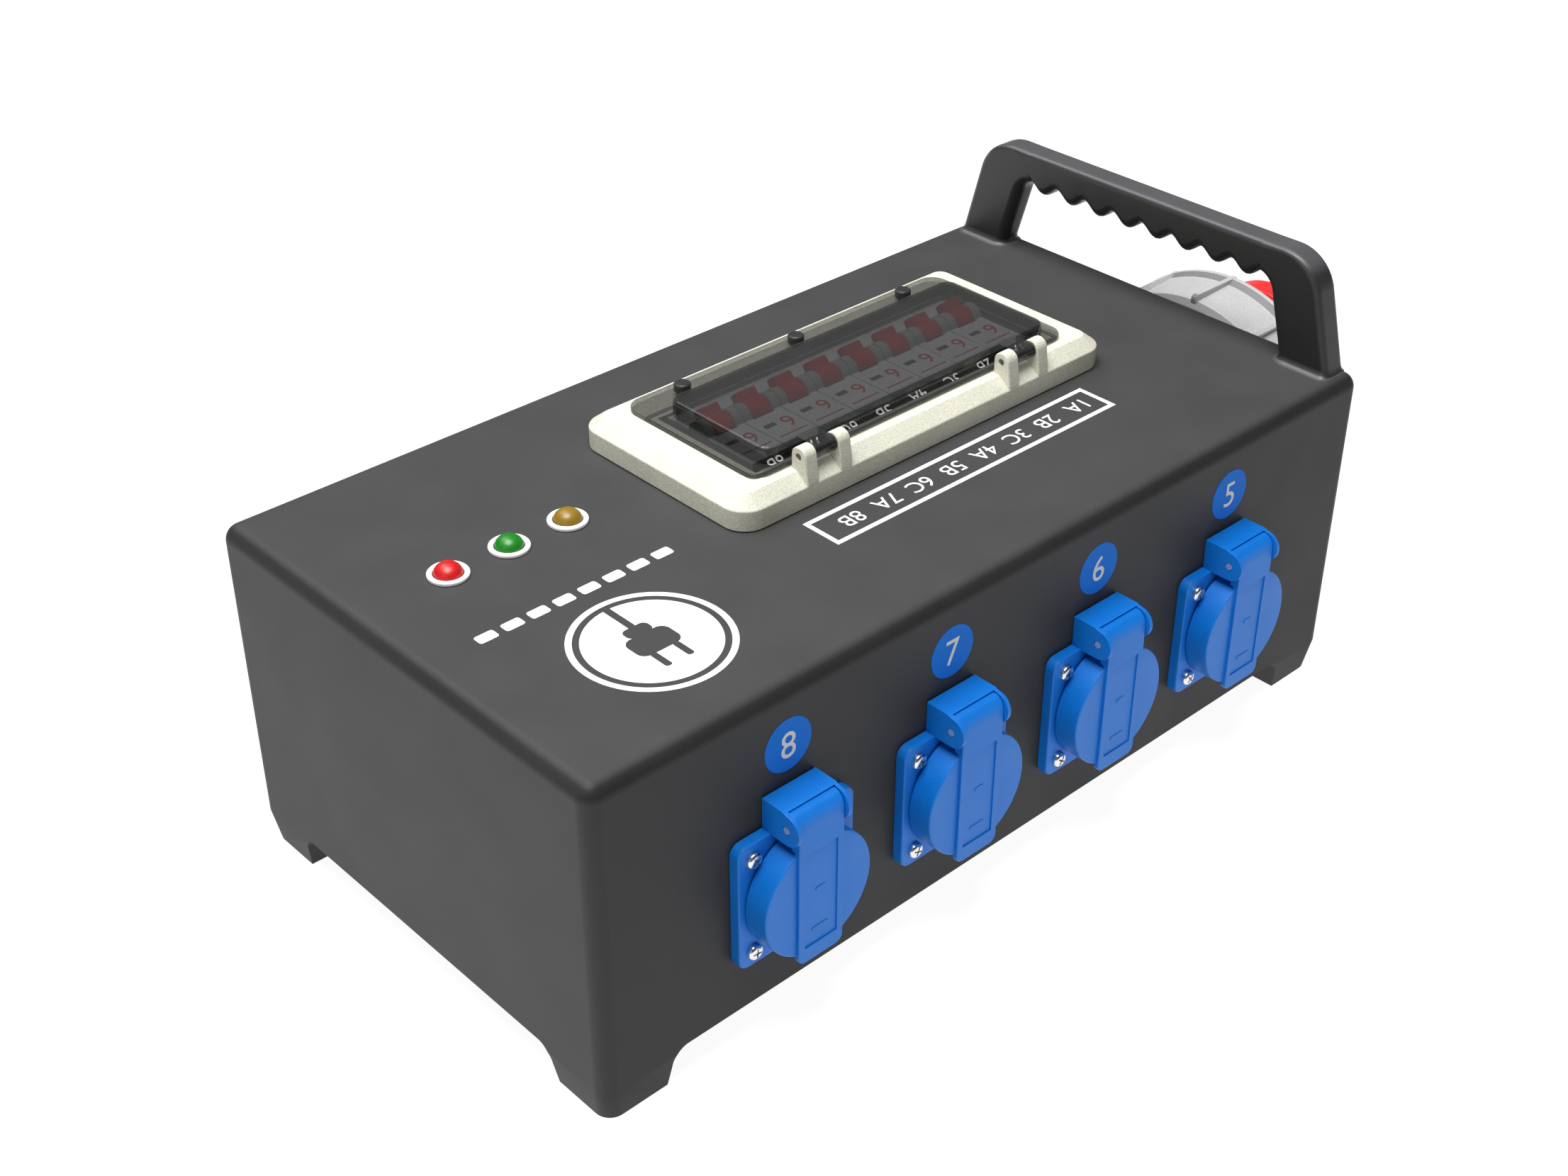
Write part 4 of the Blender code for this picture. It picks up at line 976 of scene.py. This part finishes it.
def handle_section(outer, inner):
    """One section across the handle: a rounded box between an outer and an inner point."""
    outer = Vector((0, *outer))
    inner = Vector((0, *inner))
    run = (outer - inner).normalized()
    height = min(max(outer.z, 0), HANDLE_FLARE)
    flare = HANDLE_FLARE - math.sqrt(HANDLE_FLARE**2 - (HANDLE_FLARE - height) ** 2)
    centre = (outer + inner) / 2
    corners = []
    for sign_x, sign_r, start in ((1, 1, 0), (-1, 1, 90), (-1, -1, 180), (1, -1, 270)):
        edge = HANDLE_EDGE if sign_r > 0 else HANDLE_INNER_EDGE
        half_x = HANDLE_DEPTH / 2 - edge
        half_r = (outer - inner).length / 2 - edge
        reach = tuple(edge + flare * (FLARE_OUTWARD if sign > 0 else 1) for sign in (sign_x, sign_r))
        for x, r in arc((sign_x * half_x, sign_r * half_r), reach, start, start + 90, 6):
            corners.append(centre + r * run + Vector((HANDLE_X + x, 0, 0)))
    return corners


def make_handle():
    """A loft through its sections, cut at its foot to the case's rounded edge."""
    half = [handle_section(outer, inner) for outer, inner in handle_lines()]
    mirrored = [[Vector((p.x, -p.y, p.z)) for p in section] for section in reversed(half[:-1])]
    shape = bmesh.new()
    rings = [[shape.verts.new(point) for point in section] for section in half + mirrored]
    for first, second in zip(rings, rings[1:]):
        for i in range(len(first)):
            shape.faces.new((first[i - 1], first[i], second[i], second[i - 1]))
    shape.faces.new(rings[0])
    shape.faces.new(rings[-1])
    bmesh.ops.remove_doubles(shape, verts=shape.verts, dist=1e-7)
    bmesh.ops.recalc_face_normals(shape, faces=shape.faces)
    shape = cut(shape, case_outside(PAINT_GAP))
    show("handle", finished(shape, 50), "handle", "carry_handle")


# Breaker window


def frame_ring(x, y, z, width, corner):
    """A flat rounded frame, whose outside is x by y."""
    inside = slab(within(x, width), within(y, width), within(z, -THROUGH), corner - width, 4)
    return cut(slab(x, y, z, corner, 4), inside)


def ear_outline():
    """A hinge ear in (y, z): it stands on the chamfered frame and ends round the pin."""
    foot = [(HINGE.y + EAR_RADIUS, WINDOW_TOP - 0.003), (HINGE.y + EAR_RADIUS, HINGE.z)]
    round_end = arc((HINGE.y, HINGE.z), EAR_RADIUS, 20, 170, 18)
    skirt = stairs((BASE_LOW.y, WINDOW_SIDE + 0.002), WINDOW_SIDE - 0.001, BASE_LOW.y + 0.003)
    return foot + round_end + skirt


def hinge_bores():
    bores = [cylinder(HINGE_PIN + GAP, *about(0.024, x), 24, "x") for x in HINGE_XS]
    return moved(several(bores), 0, HINGE.y, HINGE.z)


def stud_holes(radius, low, high):
    return several([moved(cylinder(radius, low, high, 24), x, y) for x, y in STUDS])


def make_window_base():
    shape = block((BASE_LOW.x, BASE_HIGH.x), (BASE_LOW.y, BASE_HIGH.y), (BASE_LOW.z, WINDOW_SIDE))
    round_edges(shape, edges_along(shape, 2), WINDOW_CORNER, 12)
    top = max(shape.faces, key=lambda face: face.calc_center_median().z)
    bmesh.ops.inset_region(shape, faces=[top], thickness=WINDOW_CHAMFER)
    top = max(shape.faces, key=lambda face: face.calc_area() * face.normal.z)
    for vert in top.verts:
        vert.co.z = WINDOW_TOP
    shape = rounded(shape, 0.0004, 3, 24)
    for x in HINGE_XS:
        for sign in (-1, 1):
            ends = sorted(x + sign * reach for reach in (EAR_REACH - EAR_THICK, EAR_REACH))
            shape = join(shape, rounded(prism(ear_outline(), *ends, "x"), 0.0006, 3))
    opening = block(OPENING_X, OPENING_Y, (-THROUGH, WINDOW_TOP + THROUGH))
    low, high = box_from_top("window_gasket")
    groove_x, groove_y = within((low.x, high.x), -GAP), within((low.y, high.y), -GAP)
    groove_z = (low.z - GAP, WINDOW_TOP + THROUGH)
    groove = frame_ring(groove_x, groove_y, groove_z, GASKET_WIDTH + 2 * GAP, 0.003)
    holes = stud_holes(STUD_HOLE + GAP, WINDOW_TOP - 0.004, WINDOW_TOP + THROUGH)
    show("window_frame", cut(shape, opening, hinge_bores(), groove, holes), "cream", "window_base")
    dress("window_gasket", "rubber")
    for side in ("left", "right"):
        dress(f"window_pin_{side}", "steel")


def lug_outline():
    """A lid lug in (y, z): round the pin, then level with the dome's top to its front wall."""
    back = DOME_Y[0] + DOME_WALL / 2
    barrel = arc((HINGE.y, HINGE.z), LUG_RADIUS, 90, 290, 24)
    return barrel + [(back, HINGE.z - LUG_RADIUS + 0.0009), (back, HINGE.z + LUG_RADIUS)]


def make_window_lid():
    lid = slab(FLANGE_X, FLANGE_Y, FLANGE_Z, FLANGE_CORNER, 10, 0.0005)
    dome = slab(DOME_X, DOME_Y, (FLANGE_Z[0] + 0.0005, DOME_TOP), DOME_CORNER, 10, 0)
    round_edges(dome, edges_at(dome, 2, DOME_TOP), DOME_EDGE, 6)
    ends = [about(2 * (EAR_REACH - EAR_THICK - GAP), x) for x in HINGE_XS]
    lid = join(lid, dome, *(rounded(prism(lug_outline(), *pair, "x")) for pair in ends))
    hollow_x, hollow_y = within(DOME_X, DOME_WALL), within(DOME_Y, DOME_WALL)
    hollow_z = (FLANGE_Z[0] - THROUGH, DOME_TOP - DOME_WALL)
    hollow = slab(hollow_x, hollow_y, hollow_z, DOME_CORNER - DOME_WALL, 8, 0.0006)
    lid = cut(lid, hollow, hinge_bores(), stud_holes(STUD_HOLE, 0, DOME_TOP))
    show("window_cover_shell", lid, "smoky", "window_lid", "window_cover")

    low, high = box_from_top("lid_stud_1")
    neck = FLANGE_Z[1] + GAP
    dome = arc((STUD_RADIUS - STUD_EDGE, high.z - STUD_EDGE), STUD_EDGE, 90, 0, 6)
    profile = [(0, high.z)] + dome + [(STUD_RADIUS, neck + 0.0003), (STUD_RADIUS - 0.0003, neck)]
    profile += stairs((STUD_NECK, neck), low.z, 0)
    stud = finished(turned(profile, 40))
    for number, (x, y) in enumerate(STUDS, 1):
        place = at(*TOP) @ at(x, y)
        show(f"push_stud_{number}", stud, "stud", f"lid_stud_{number}", "window_cover", place)


# Breakers


def breaker_outline():
    """A breaker in (y, z): its short front stands on a longer body."""
    front, body = BREAKER_FACE_Y, BREAKER_BODY_Y
    back = (BREAKER_STEP_Z, body[0], BREAKER_BACK_Z, body[1], BREAKER_STEP_Z)
    return stairs((front[0], BREAKER_FACE_Z), *back, front[1], BREAKER_FACE_Z)


def breaker_mesh():
    """A breaker with two round cheeks, and a slot between them for its lever."""
    shape = prism(breaker_outline(), *about(BREAKER_WIDTH), "x")
    cheek = moved(cylinder(LEVER_HUB, *about(BREAKER_WIDTH), 48, "x"), 0, LEVER_Y, LEVER_Z)
    shape = rounded(join(shape, cheek), 0.0003, 2, 35)
    slot = cylinder(LEVER_HUB + 2 * GAP, *about(LEVER_SLOT), 48, "x")
    body = finished(cut(shape, moved(slot, 0, LEVER_Y, LEVER_Z)), 30)
    two_looks(body, "breaker", "cheek", lambda face: face.center.z > BREAKER_FACE_Z + 0.0002)
    return body


def lever_mesh():
    hub = cylinder(LEVER_HUB - 0.0002, *about(LEVER_WIDTH), 48, "x")
    root, tip = LEVER_THICK / 2, LEVER_THICK / 2 * 0.86
    outline = eased([(-root, 0.001), (root, 0.001), (tip, LEVER_TIP), (-tip, LEVER_TIP)], 0.0009, 4)
    paddle = rounded(prism(outline, *about(LEVER_WIDTH), "x"))
    paddle.transform(turned_by(-LEVER_LEAN, "X"))
    return finished(join(rounded(hub), paddle), 40)


def make_breakers():
    body, lever = breaker_mesh(), lever_mesh()
    six = lettering("6", RATING_HEIGHT)
    six.transform(UPSIDE_DOWN)
    six = finished(moved(six, *RATING_PLACE, BREAKER_FACE_Z))
    print_z = (BREAKER_FACE_Z + PAINT_GAP, BREAKER_FACE_Z + PAINT_GAP + PAINT)
    tick, rule = (finished(block(*limits, print_z)) for limits in (TICK, RULE))
    prints = (("rating", six, "red_print"), ("tick", tick, "dark_print"), ("rule", rule, "red_print"))
    for number in range(1, BREAKERS + 1):
        place = at(middle(f"breaker_{number}").x, TOP.y, TOP.z)
        show(f"breaker_body_{number}", body, "breaker", f"breaker_{number}", place=place)
        pivot = place @ at(0, LEVER_Y, LEVER_Z)
        show(f"toggle_lever_{number}", lever, "lever", f"lever_{number}", f"toggle_{number}", pivot)
        for name, mesh, look in prints:
            show(f"breaker_{name}_{number}", mesh, look, place=place)
    dress("label_strip", "black")
    low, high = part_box("label_strip")
    slope = math.degrees(math.atan2(high.z - low.z - LABEL_FRONT, high.y - low.y))
    for number, mark in enumerate(STRIP_MARKS, 1):
        place = at(middle(f"breaker_{number}").x, (low.y + high.y) / 2, (low.z + LABEL_FRONT + high.z) / 2)
        place = place @ turned_by(slope, "X") @ UPSIDE_DOWN
        show(f"label_{number}", lettering(mark, LABEL_MARK_HEIGHT), "label", place=place)
    dress("din_rail", "rail")
    dress("terminal_block", "white")


# Lamps


def make_lamps():
    hole = LENS_RADIUS + GAP
    shoulder = arc((BEZEL_RADIUS - 0.0005, BEZEL_TOP - 0.0005), 0.0005, 90, 0, 5)
    bezel = [(hole + 0.0003, BEZEL_TOP)] + shoulder + [(BEZEL_RADIUS, GAP)]
    bezel += stairs((BEZEL_BARREL, GAP), -BEZEL_DEPTH, hole, BEZEL_TOP - 0.0003)
    bezel = finished(turned(bezel, 72))
    dome = arc((0, BEZEL_TOP - 0.0006), (LENS_RADIUS, LENS_TOP - BEZEL_TOP + 0.0006), 90, 0, 16)
    lens = finished(turned(dome + [(LENS_RADIUS, -LENS_DEPTH), (0, -LENS_DEPTH)], 72))
    for colour, (x, y) in LAMPS.items():
        place = at(*TOP) @ at(x, y)
        show(f"bezel_{colour}", bezel, "white", f"lamp_bezel_{colour}", place=place)
        show(f"lens_{colour}", lens.copy(), f"lens_{colour}", f"lamp_lens_{colour}", place=place)


# Sockets, each in its own frame


def socket_frame(number):
    """Takes a socket's own frame to the world."""
    place = middle(f"socket_housing_{number}")
    far = place.y > 0
    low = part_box(f"socket_housing_{number}")[0].z
    place = at(place.x, CASE_HIGH.y if far else CASE_LOW.y, low + SOCKET_FLANGE / 2)
    return place @ turned_by(180 if far else 0, "Z") @ turned_by(90, "X")


def across_socket(points, half):
    """A prism along X on an outline in (z, y), centred on the socket."""
    return prism([(up, out) for out, up in points], -half, half, "x")


def hinge_block_outline():
    """The hinge block in (z, y): it stands on the flange and ends in ears round the axis."""
    round_end = arc((HINGE_OUT, HINGE_UP), SOCKET_EAR, 90, -90, 20)
    start = (SOCKET_FLANGE_TOP - 0.001, HINGE_UP - SOCKET_EAR)
    return round_end + stairs(start, SOCKET_FLANGE / 2 - 0.004, GAP, BLOCK_TOP, HINGE_OUT - 0.002)


def socket_pin_bore():
    bore = cylinder(SOCKET_PIN + 0.0001, -BLOCK_WIDTH, BLOCK_WIDTH, 32, "x")
    return moved(bore, 0, HINGE_UP, HINGE_OUT)


def socket_housing_shape():
    side = about(SOCKET_FLANGE)
    shape = slab(side, side, (GAP, SOCKET_FLANGE_TOP), SOCKET_CORNER, 8, 0.0006)
    hinge_block = rounded(across_socket(hinge_block_outline(), BLOCK_WIDTH / 2))
    barrel = cylinder(SOCKET_BODY, SOCKET_BACK, SOCKET_FLANGE_TOP - 0.001, 72)
    edge = 0.0002
    rim = [(SOCKET_RIM - edge, SOCKET_RIM_TOP), (SOCKET_RIM, SOCKET_RIM_TOP - edge), (SOCKET_RIM, 0)]
    rim = turned([(0, SOCKET_RIM_TOP)] + rim + [(0, 0)], 96)
    shape = join(shape, hinge_block, barrel, rim)
    well = cylinder(SOCKET_WELL, SOCKET_FLOOR, SOCKET_RIM_TOP + THROUGH, 96)
    mouth = CONTACT_RADIUS + CONTACT_CHAMFER
    hole = [(0, SOCKET_FLOOR + THROUGH), (mouth, SOCKET_FLOOR + THROUGH), (mouth, SOCKET_FLOOR)]
    hole += [(CONTACT_RADIUS, SOCKET_FLOOR - CONTACT_CHAMFER), (CONTACT_RADIUS, SOCKET_BACK + 0.005)]
    hole += [(0, SOCKET_BACK + 0.005)]
    holes = several([moved(turned(hole, 32), side * CONTACT_OFFSET) for side in (-1, 1)])
    earths = []
    for side in (-1, 1):
        y = sorted(side * limit for limit in EARTH_RECESS_Y)
        earths.append(block(about(EARTH_RECESS_WIDTH), y, (SOCKET_FLOOR - 0.001, SOCKET_RIM_TOP + THROUGH)))
    bore = BARREL_RADIUS + GAP
    recess = arc((HINGE_OUT, HINGE_UP), bore, 100, 180, 14)
    low = HINGE_UP - SOCKET_EAR - THROUGH
    far = HINGE_OUT + SOCKET_EAR + THROUGH
    recess += [(HINGE_OUT - bore, low)] + stairs((far, low), BLOCK_TOP + THROUGH, BLOCK_OUT)
    recess = across_socket(recess, BLOCK_WIDTH / 2 - SOCKET_EAR_THICK)
    return cut(shape, well, holes, *earths, recess, socket_pin_bore())


def strap_outline():
    """The lid's strap in (z, y): a barrel round the hinge axis, then down over the disc."""
    axis = (HINGE_OUT, HINGE_UP)
    front = arc(axis, (STRAP_FRONT - HINGE_OUT, BARREL_RADIUS), 0, 90, 12)
    back = arc(axis, BARREL_RADIUS, 90, 270, 20)[1:]
    inside = LID_SKIRT + 0.0006
    neck = HINGE_OUT + 0.0006
    return front + back + [(neck, inside)] + stairs((STRAP_BACK, inside), STRAP_END, STRAP_FRONT)


def socket_lid_shape():
    edge = 0.0006
    rim = arc((LID_RADIUS - edge, LID_FRONT - edge), edge, 90, 0, 4)
    back = [(LID_RADIUS, LID_BACK + 0.0002), (LID_RADIUS - 0.0002, LID_BACK), (0, LID_BACK)]
    disc = turned([(0, LID_FRONT)] + rim + back, 128)
    hollow = [(0, LID_INSIDE), (LID_SKIRT - edge, LID_INSIDE), (LID_SKIRT, LID_INSIDE - edge)]
    hollow += [(LID_SKIRT, LID_BACK - THROUGH), (0, LID_BACK - THROUGH)]
    strap = across_socket(strap_outline(), STRAP_WIDTH / 2)
    plan = slab(about(STRAP_WIDTH), (STRAP_END, STRAP_END + 0.080), (-0.010, 0.030), STRAP_CORNER)
    strap = rounded(combine("INTERSECT", strap, plan), 0.00035)
    floor = STRAP_FRONT - PANEL_DEPTH
    panel = slab(about(PANEL_WIDTH), PANEL_Y, (floor, STRAP_FRONT + THROUGH), 0.0002, 1)
    lid = cut(join(cut(disc, turned(hollow, 96)), strap), panel)
    for y, width in PANEL_BARS:
        lid = join(lid, slab(about(width), about(0.0014, y), (floor - 0.0002, floor + 0.00022), 0.0005, 4))
    return cut(lid, socket_pin_bore())


def sleeve_shape():
    """A brass sleeve down a contact hole."""
    radius = CONTACT_RADIUS - 0.0002
    wall = 0.0004
    top = SOCKET_FLOOR - 0.0035
    back = SOCKET_BACK + 0.006
    return turned(stairs((radius, top), back, radius - wall, top), 32)


def make_sockets():
    housing, lid = finished(socket_housing_shape(), 32), finished(socket_lid_shape(), 32)
    head = screw_head(*SOCKET_SCREW)
    pin = rounded(cylinder(SOCKET_PIN, *about(BLOCK_WIDTH - 0.0002), 32, "x"))
    pin = finished(moved(pin, 0, HINGE_UP, HINGE_OUT))
    sleeve = finished(sleeve_shape())
    edge = DISC_THICK / 2
    disc = [(0, DISC_THICK), (DISC_RADIUS - edge, DISC_THICK), (DISC_RADIUS, edge)]
    disc = finished(turned(disc + [(DISC_RADIUS, PAINT_GAP), (0, PAINT_GAP)], 96))
    offsets = (-SCREW_OFFSET, SCREW_OFFSET)
    for number in range(1, SOCKETS + 1):
        place = socket_frame(number)
        show(f"outlet_{number}", housing, "blue", f"socket_housing_{number}", place=place)
        show(f"outlet_lid_{number}", lid, "blue", f"socket_lid_{number}", f"flap_{number}", place)
        show(f"outlet_pin_{number}", pin, "disc_pin", place=place)
        for corner, (x, y) in enumerate(((x, y) for x in offsets for y in offsets), 1):
            turn = turned_by(20 + 35 * corner + 15 * number, "Z")
            seat = place @ at(x, y, SOCKET_FLANGE_TOP + SEAT_GAP) @ turn
            show(f"outlet_screw_{number}_{corner}", head, "steel", place=seat)
        for side, x in (("left", -CONTACT_OFFSET), ("right", CONTACT_OFFSET)):
            show(f"contact_{side}_{number}", sleeve, "brass", place=place @ at(x))
        up = place @ at(0, DISC_UP)
        show(f"number_disc_{number}", disc, "disc", place=up)
        digit = lettering(str(number), DIGIT_HEIGHT)
        show(f"number_{number}", digit, "print", place=up @ at(0, 0, DISC_THICK))


# Inlet, in a frame whose X runs out of the end face


def ring_mesh():
    """The locking ring, with ribs along it and painted shade on its faces towards the case."""
    low, high = RING_X
    mouth = RING_BORE + 0.0070
    lip = [(RING_LIP - 0.0006, high), (RING_LIP, high - 0.0007), (RING_LIP, high - 0.0026)]
    grip = [(RING_RADIUS, high - 0.0058), (RING_RADIUS - 0.0008, low + 0.0062)]
    back = [(RING_RADIUS - 0.0024, low + 0.0030), (RING_RADIUS - 0.0062, low), (RING_BORE, low)]
    step = [(RING_BORE, low + RING_STEP), (mouth, low + RING_STEP)]
    ring = turned(eased([(mouth, high)] + lip + grip + back + step, 0.0006), 144, "x")
    ribs = []
    rib_top = RING_LIP + 0.0003
    for number in range(RING_RIBS):
        rib = block((low + 0.0045, high + 0.0001), (-0.0011, 0.0011), (RING_RADIUS - 0.0030, rib_top))
        back = [edge for edge in edges_at(rib, 0, low + 0.0045) if edge in edges_at(rib, 2, rib_top)]
        round_edges(rib, back, 0.0022, 5)
        round_edges(rib, edges_at(rib, 2, rib_top), 0.0004, 2)
        rib.transform(turned_by(360 * number / RING_RIBS, "X"))
        ribs.append(rib)
    ring = finished(join(ring, several(ribs)))
    # Faces that point back towards the case get the darker copy of the grey: painted shade.
    two_looks(ring, "grey", "shade", lambda face: face.normal.x < -0.3)
    return ring


def shroud_shape():
    bearing = RING_BORE - 0.0007
    shoulder = RING_X[0] + RING_STEP + GAP
    outside = (shoulder + 0.0035, SHROUD_SHOULDER, shoulder, bearing, SHROUD_START_X)
    inside = (SHROUD_BORE, SHROUD_END_X, SHROUD_COLLAR, SHROUD_COLLAR_X)
    profile = stairs((SHROUD_RADIUS, SHROUD_COLLAR_X - 0.001), *outside, *inside)
    shroud = turned(eased(profile, 0.0007, 4), 144, "x")
    crescent = arc((0, NOSE_UP), NOSE_RADIUS, 25, 155, 48)
    crescent += arc((0, 0), (SHROUD_BORE + SHROUD_COLLAR) / 2, 135, 45, 16)
    return join(shroud, rounded(prism(crescent, *NOSE_X, "x"), 0.0006, 3))


def make_inlet():
    place = at(*INLET)
    flange = block((GAP, INLET_FLANGE_THICK), about(INLET_FLANGE), about(INLET_FLANGE))
    round_edges(flange, edges_along(flange, 0), 0.006, 8)
    round_edges(flange, edges_at(flange, 0, INLET_FLANGE_THICK), 0.0010, 3)
    neck = (INLET_NECK_X, INLET_NECK, INLET_FLANGE_THICK - 0.001)
    profile = stairs((SHROUD_BORE - GAP, INSULATOR_X), *neck, INLET_BARREL, INLET_BACK_X, 0)
    housing = join(flange, turned([(0, INSULATOR_X)] + profile, 96, "x"))
    show("inlet_body", housing, "grey", "inlet_housing", place=place)
    head = screw_head(*INLET_SCREW)
    offsets = (-INLET_SCREW_OFFSET, INLET_SCREW_OFFSET)
    for number, (y, z) in enumerate(((y, z) for y in offsets for z in offsets), 1):
        seat = place @ at(INLET_FLANGE_THICK + SEAT_GAP, y, z) @ TURN_ALONG["x"]
        show(f"inlet_screw_{number}", head, "steel", place=seat)
    show("ring", ring_mesh(), "grey", "inlet_ring", "locking_ring", place)
    show("shroud", shroud_shape(), "red", "inlet_shroud", place=place)

    edge = 0.0016
    tip = arc((INLET_PIN_RADIUS - edge, INLET_PIN_END_X - edge), edge, 90, 0, 6)
    profile = [(0, INLET_PIN_END_X)] + tip + [(INLET_PIN_RADIUS, INSULATOR_X + GAP), (0, INSULATOR_X + GAP)]
    pin = finished(turned(profile, 40, "x"))
    for number in range(1, INLET_PINS + 1):
        spot = middle(f"inlet_pin_{number}")
        seat = at(INLET.x, spot.y, spot.z)
        show(f"contact_pin_{number}", pin, "brass", f"inlet_pin_{number}", place=seat)


# Printed marks


def make_marks():
    flat = (-1e-4, 1e-4)
    through = (-THROUGH, THROUGH)
    inside = block(within(STRIP_X, STRIP_LINE), within(STRIP_Y, STRIP_LINE), through)
    show("channel_frame", printed(cut(block(STRIP_X, STRIP_Y, flat), inside)), "paint")
    first, last = STRIP_MARK_X
    for number, mark in enumerate(STRIP_MARKS):
        x = first + (last - first) * number / (len(STRIP_MARKS) - 1)
        place = at(*TOP) @ at(x, sum(STRIP_Y) / 2) @ UPSIDE_DOWN
        show(f"channel_mark_{number + 1}", lettering(mark, STRIP_MARK_HEIGHT), "paint", place=place)

    # The round badge shows a plain mains plug.
    ring = cut(cylinder(BADGE_RADIUS, *flat, 128), cylinder(BADGE_RADIUS - BADGE_LINE, *through, 128))
    disc = cylinder(BADGE_DISC, *flat, 128)
    body = slab(about(0.0170), (-0.0050, 0.0060), through, 0.0035, 8)
    chin = slab(about(0.0100), (-0.0100, -0.0045), through, 0.0022, 6)
    cord = block(about(0.0028), (-0.0240, -0.0095), through)
    prongs = [slab(about(0.0026, x), (0.0055, 0.0140), through, 0.0010, 4) for x in (-0.0045, 0.0045)]
    badge = at(*TOP) @ at(*BADGE) @ UPSIDE_DOWN
    show("badge_ring", printed(ring), "paint", place=badge)
    show("badge_plug", printed(cut(disc, body, chin, cord, *prongs)), "paint", place=badge)

    length = (DASH_X[1] - DASH_X[0]) / DASHES
    starts = [DASH_X[0] + number * length for number in range(DASHES)]
    dashes = [slab((x, x + DASH_SHARE * length), DASH_Y, flat, 0.0010, 4) for x in starts]
    show("dashes", printed(several(dashes)), "paint")


clear_defaults()
make_camera()
make_stage()
LOOKS = make_looks()
make_case()
make_handle()
make_window_base()
make_window_lid()
make_breakers()
make_lamps()
make_sockets()
make_inlet()
make_marks()
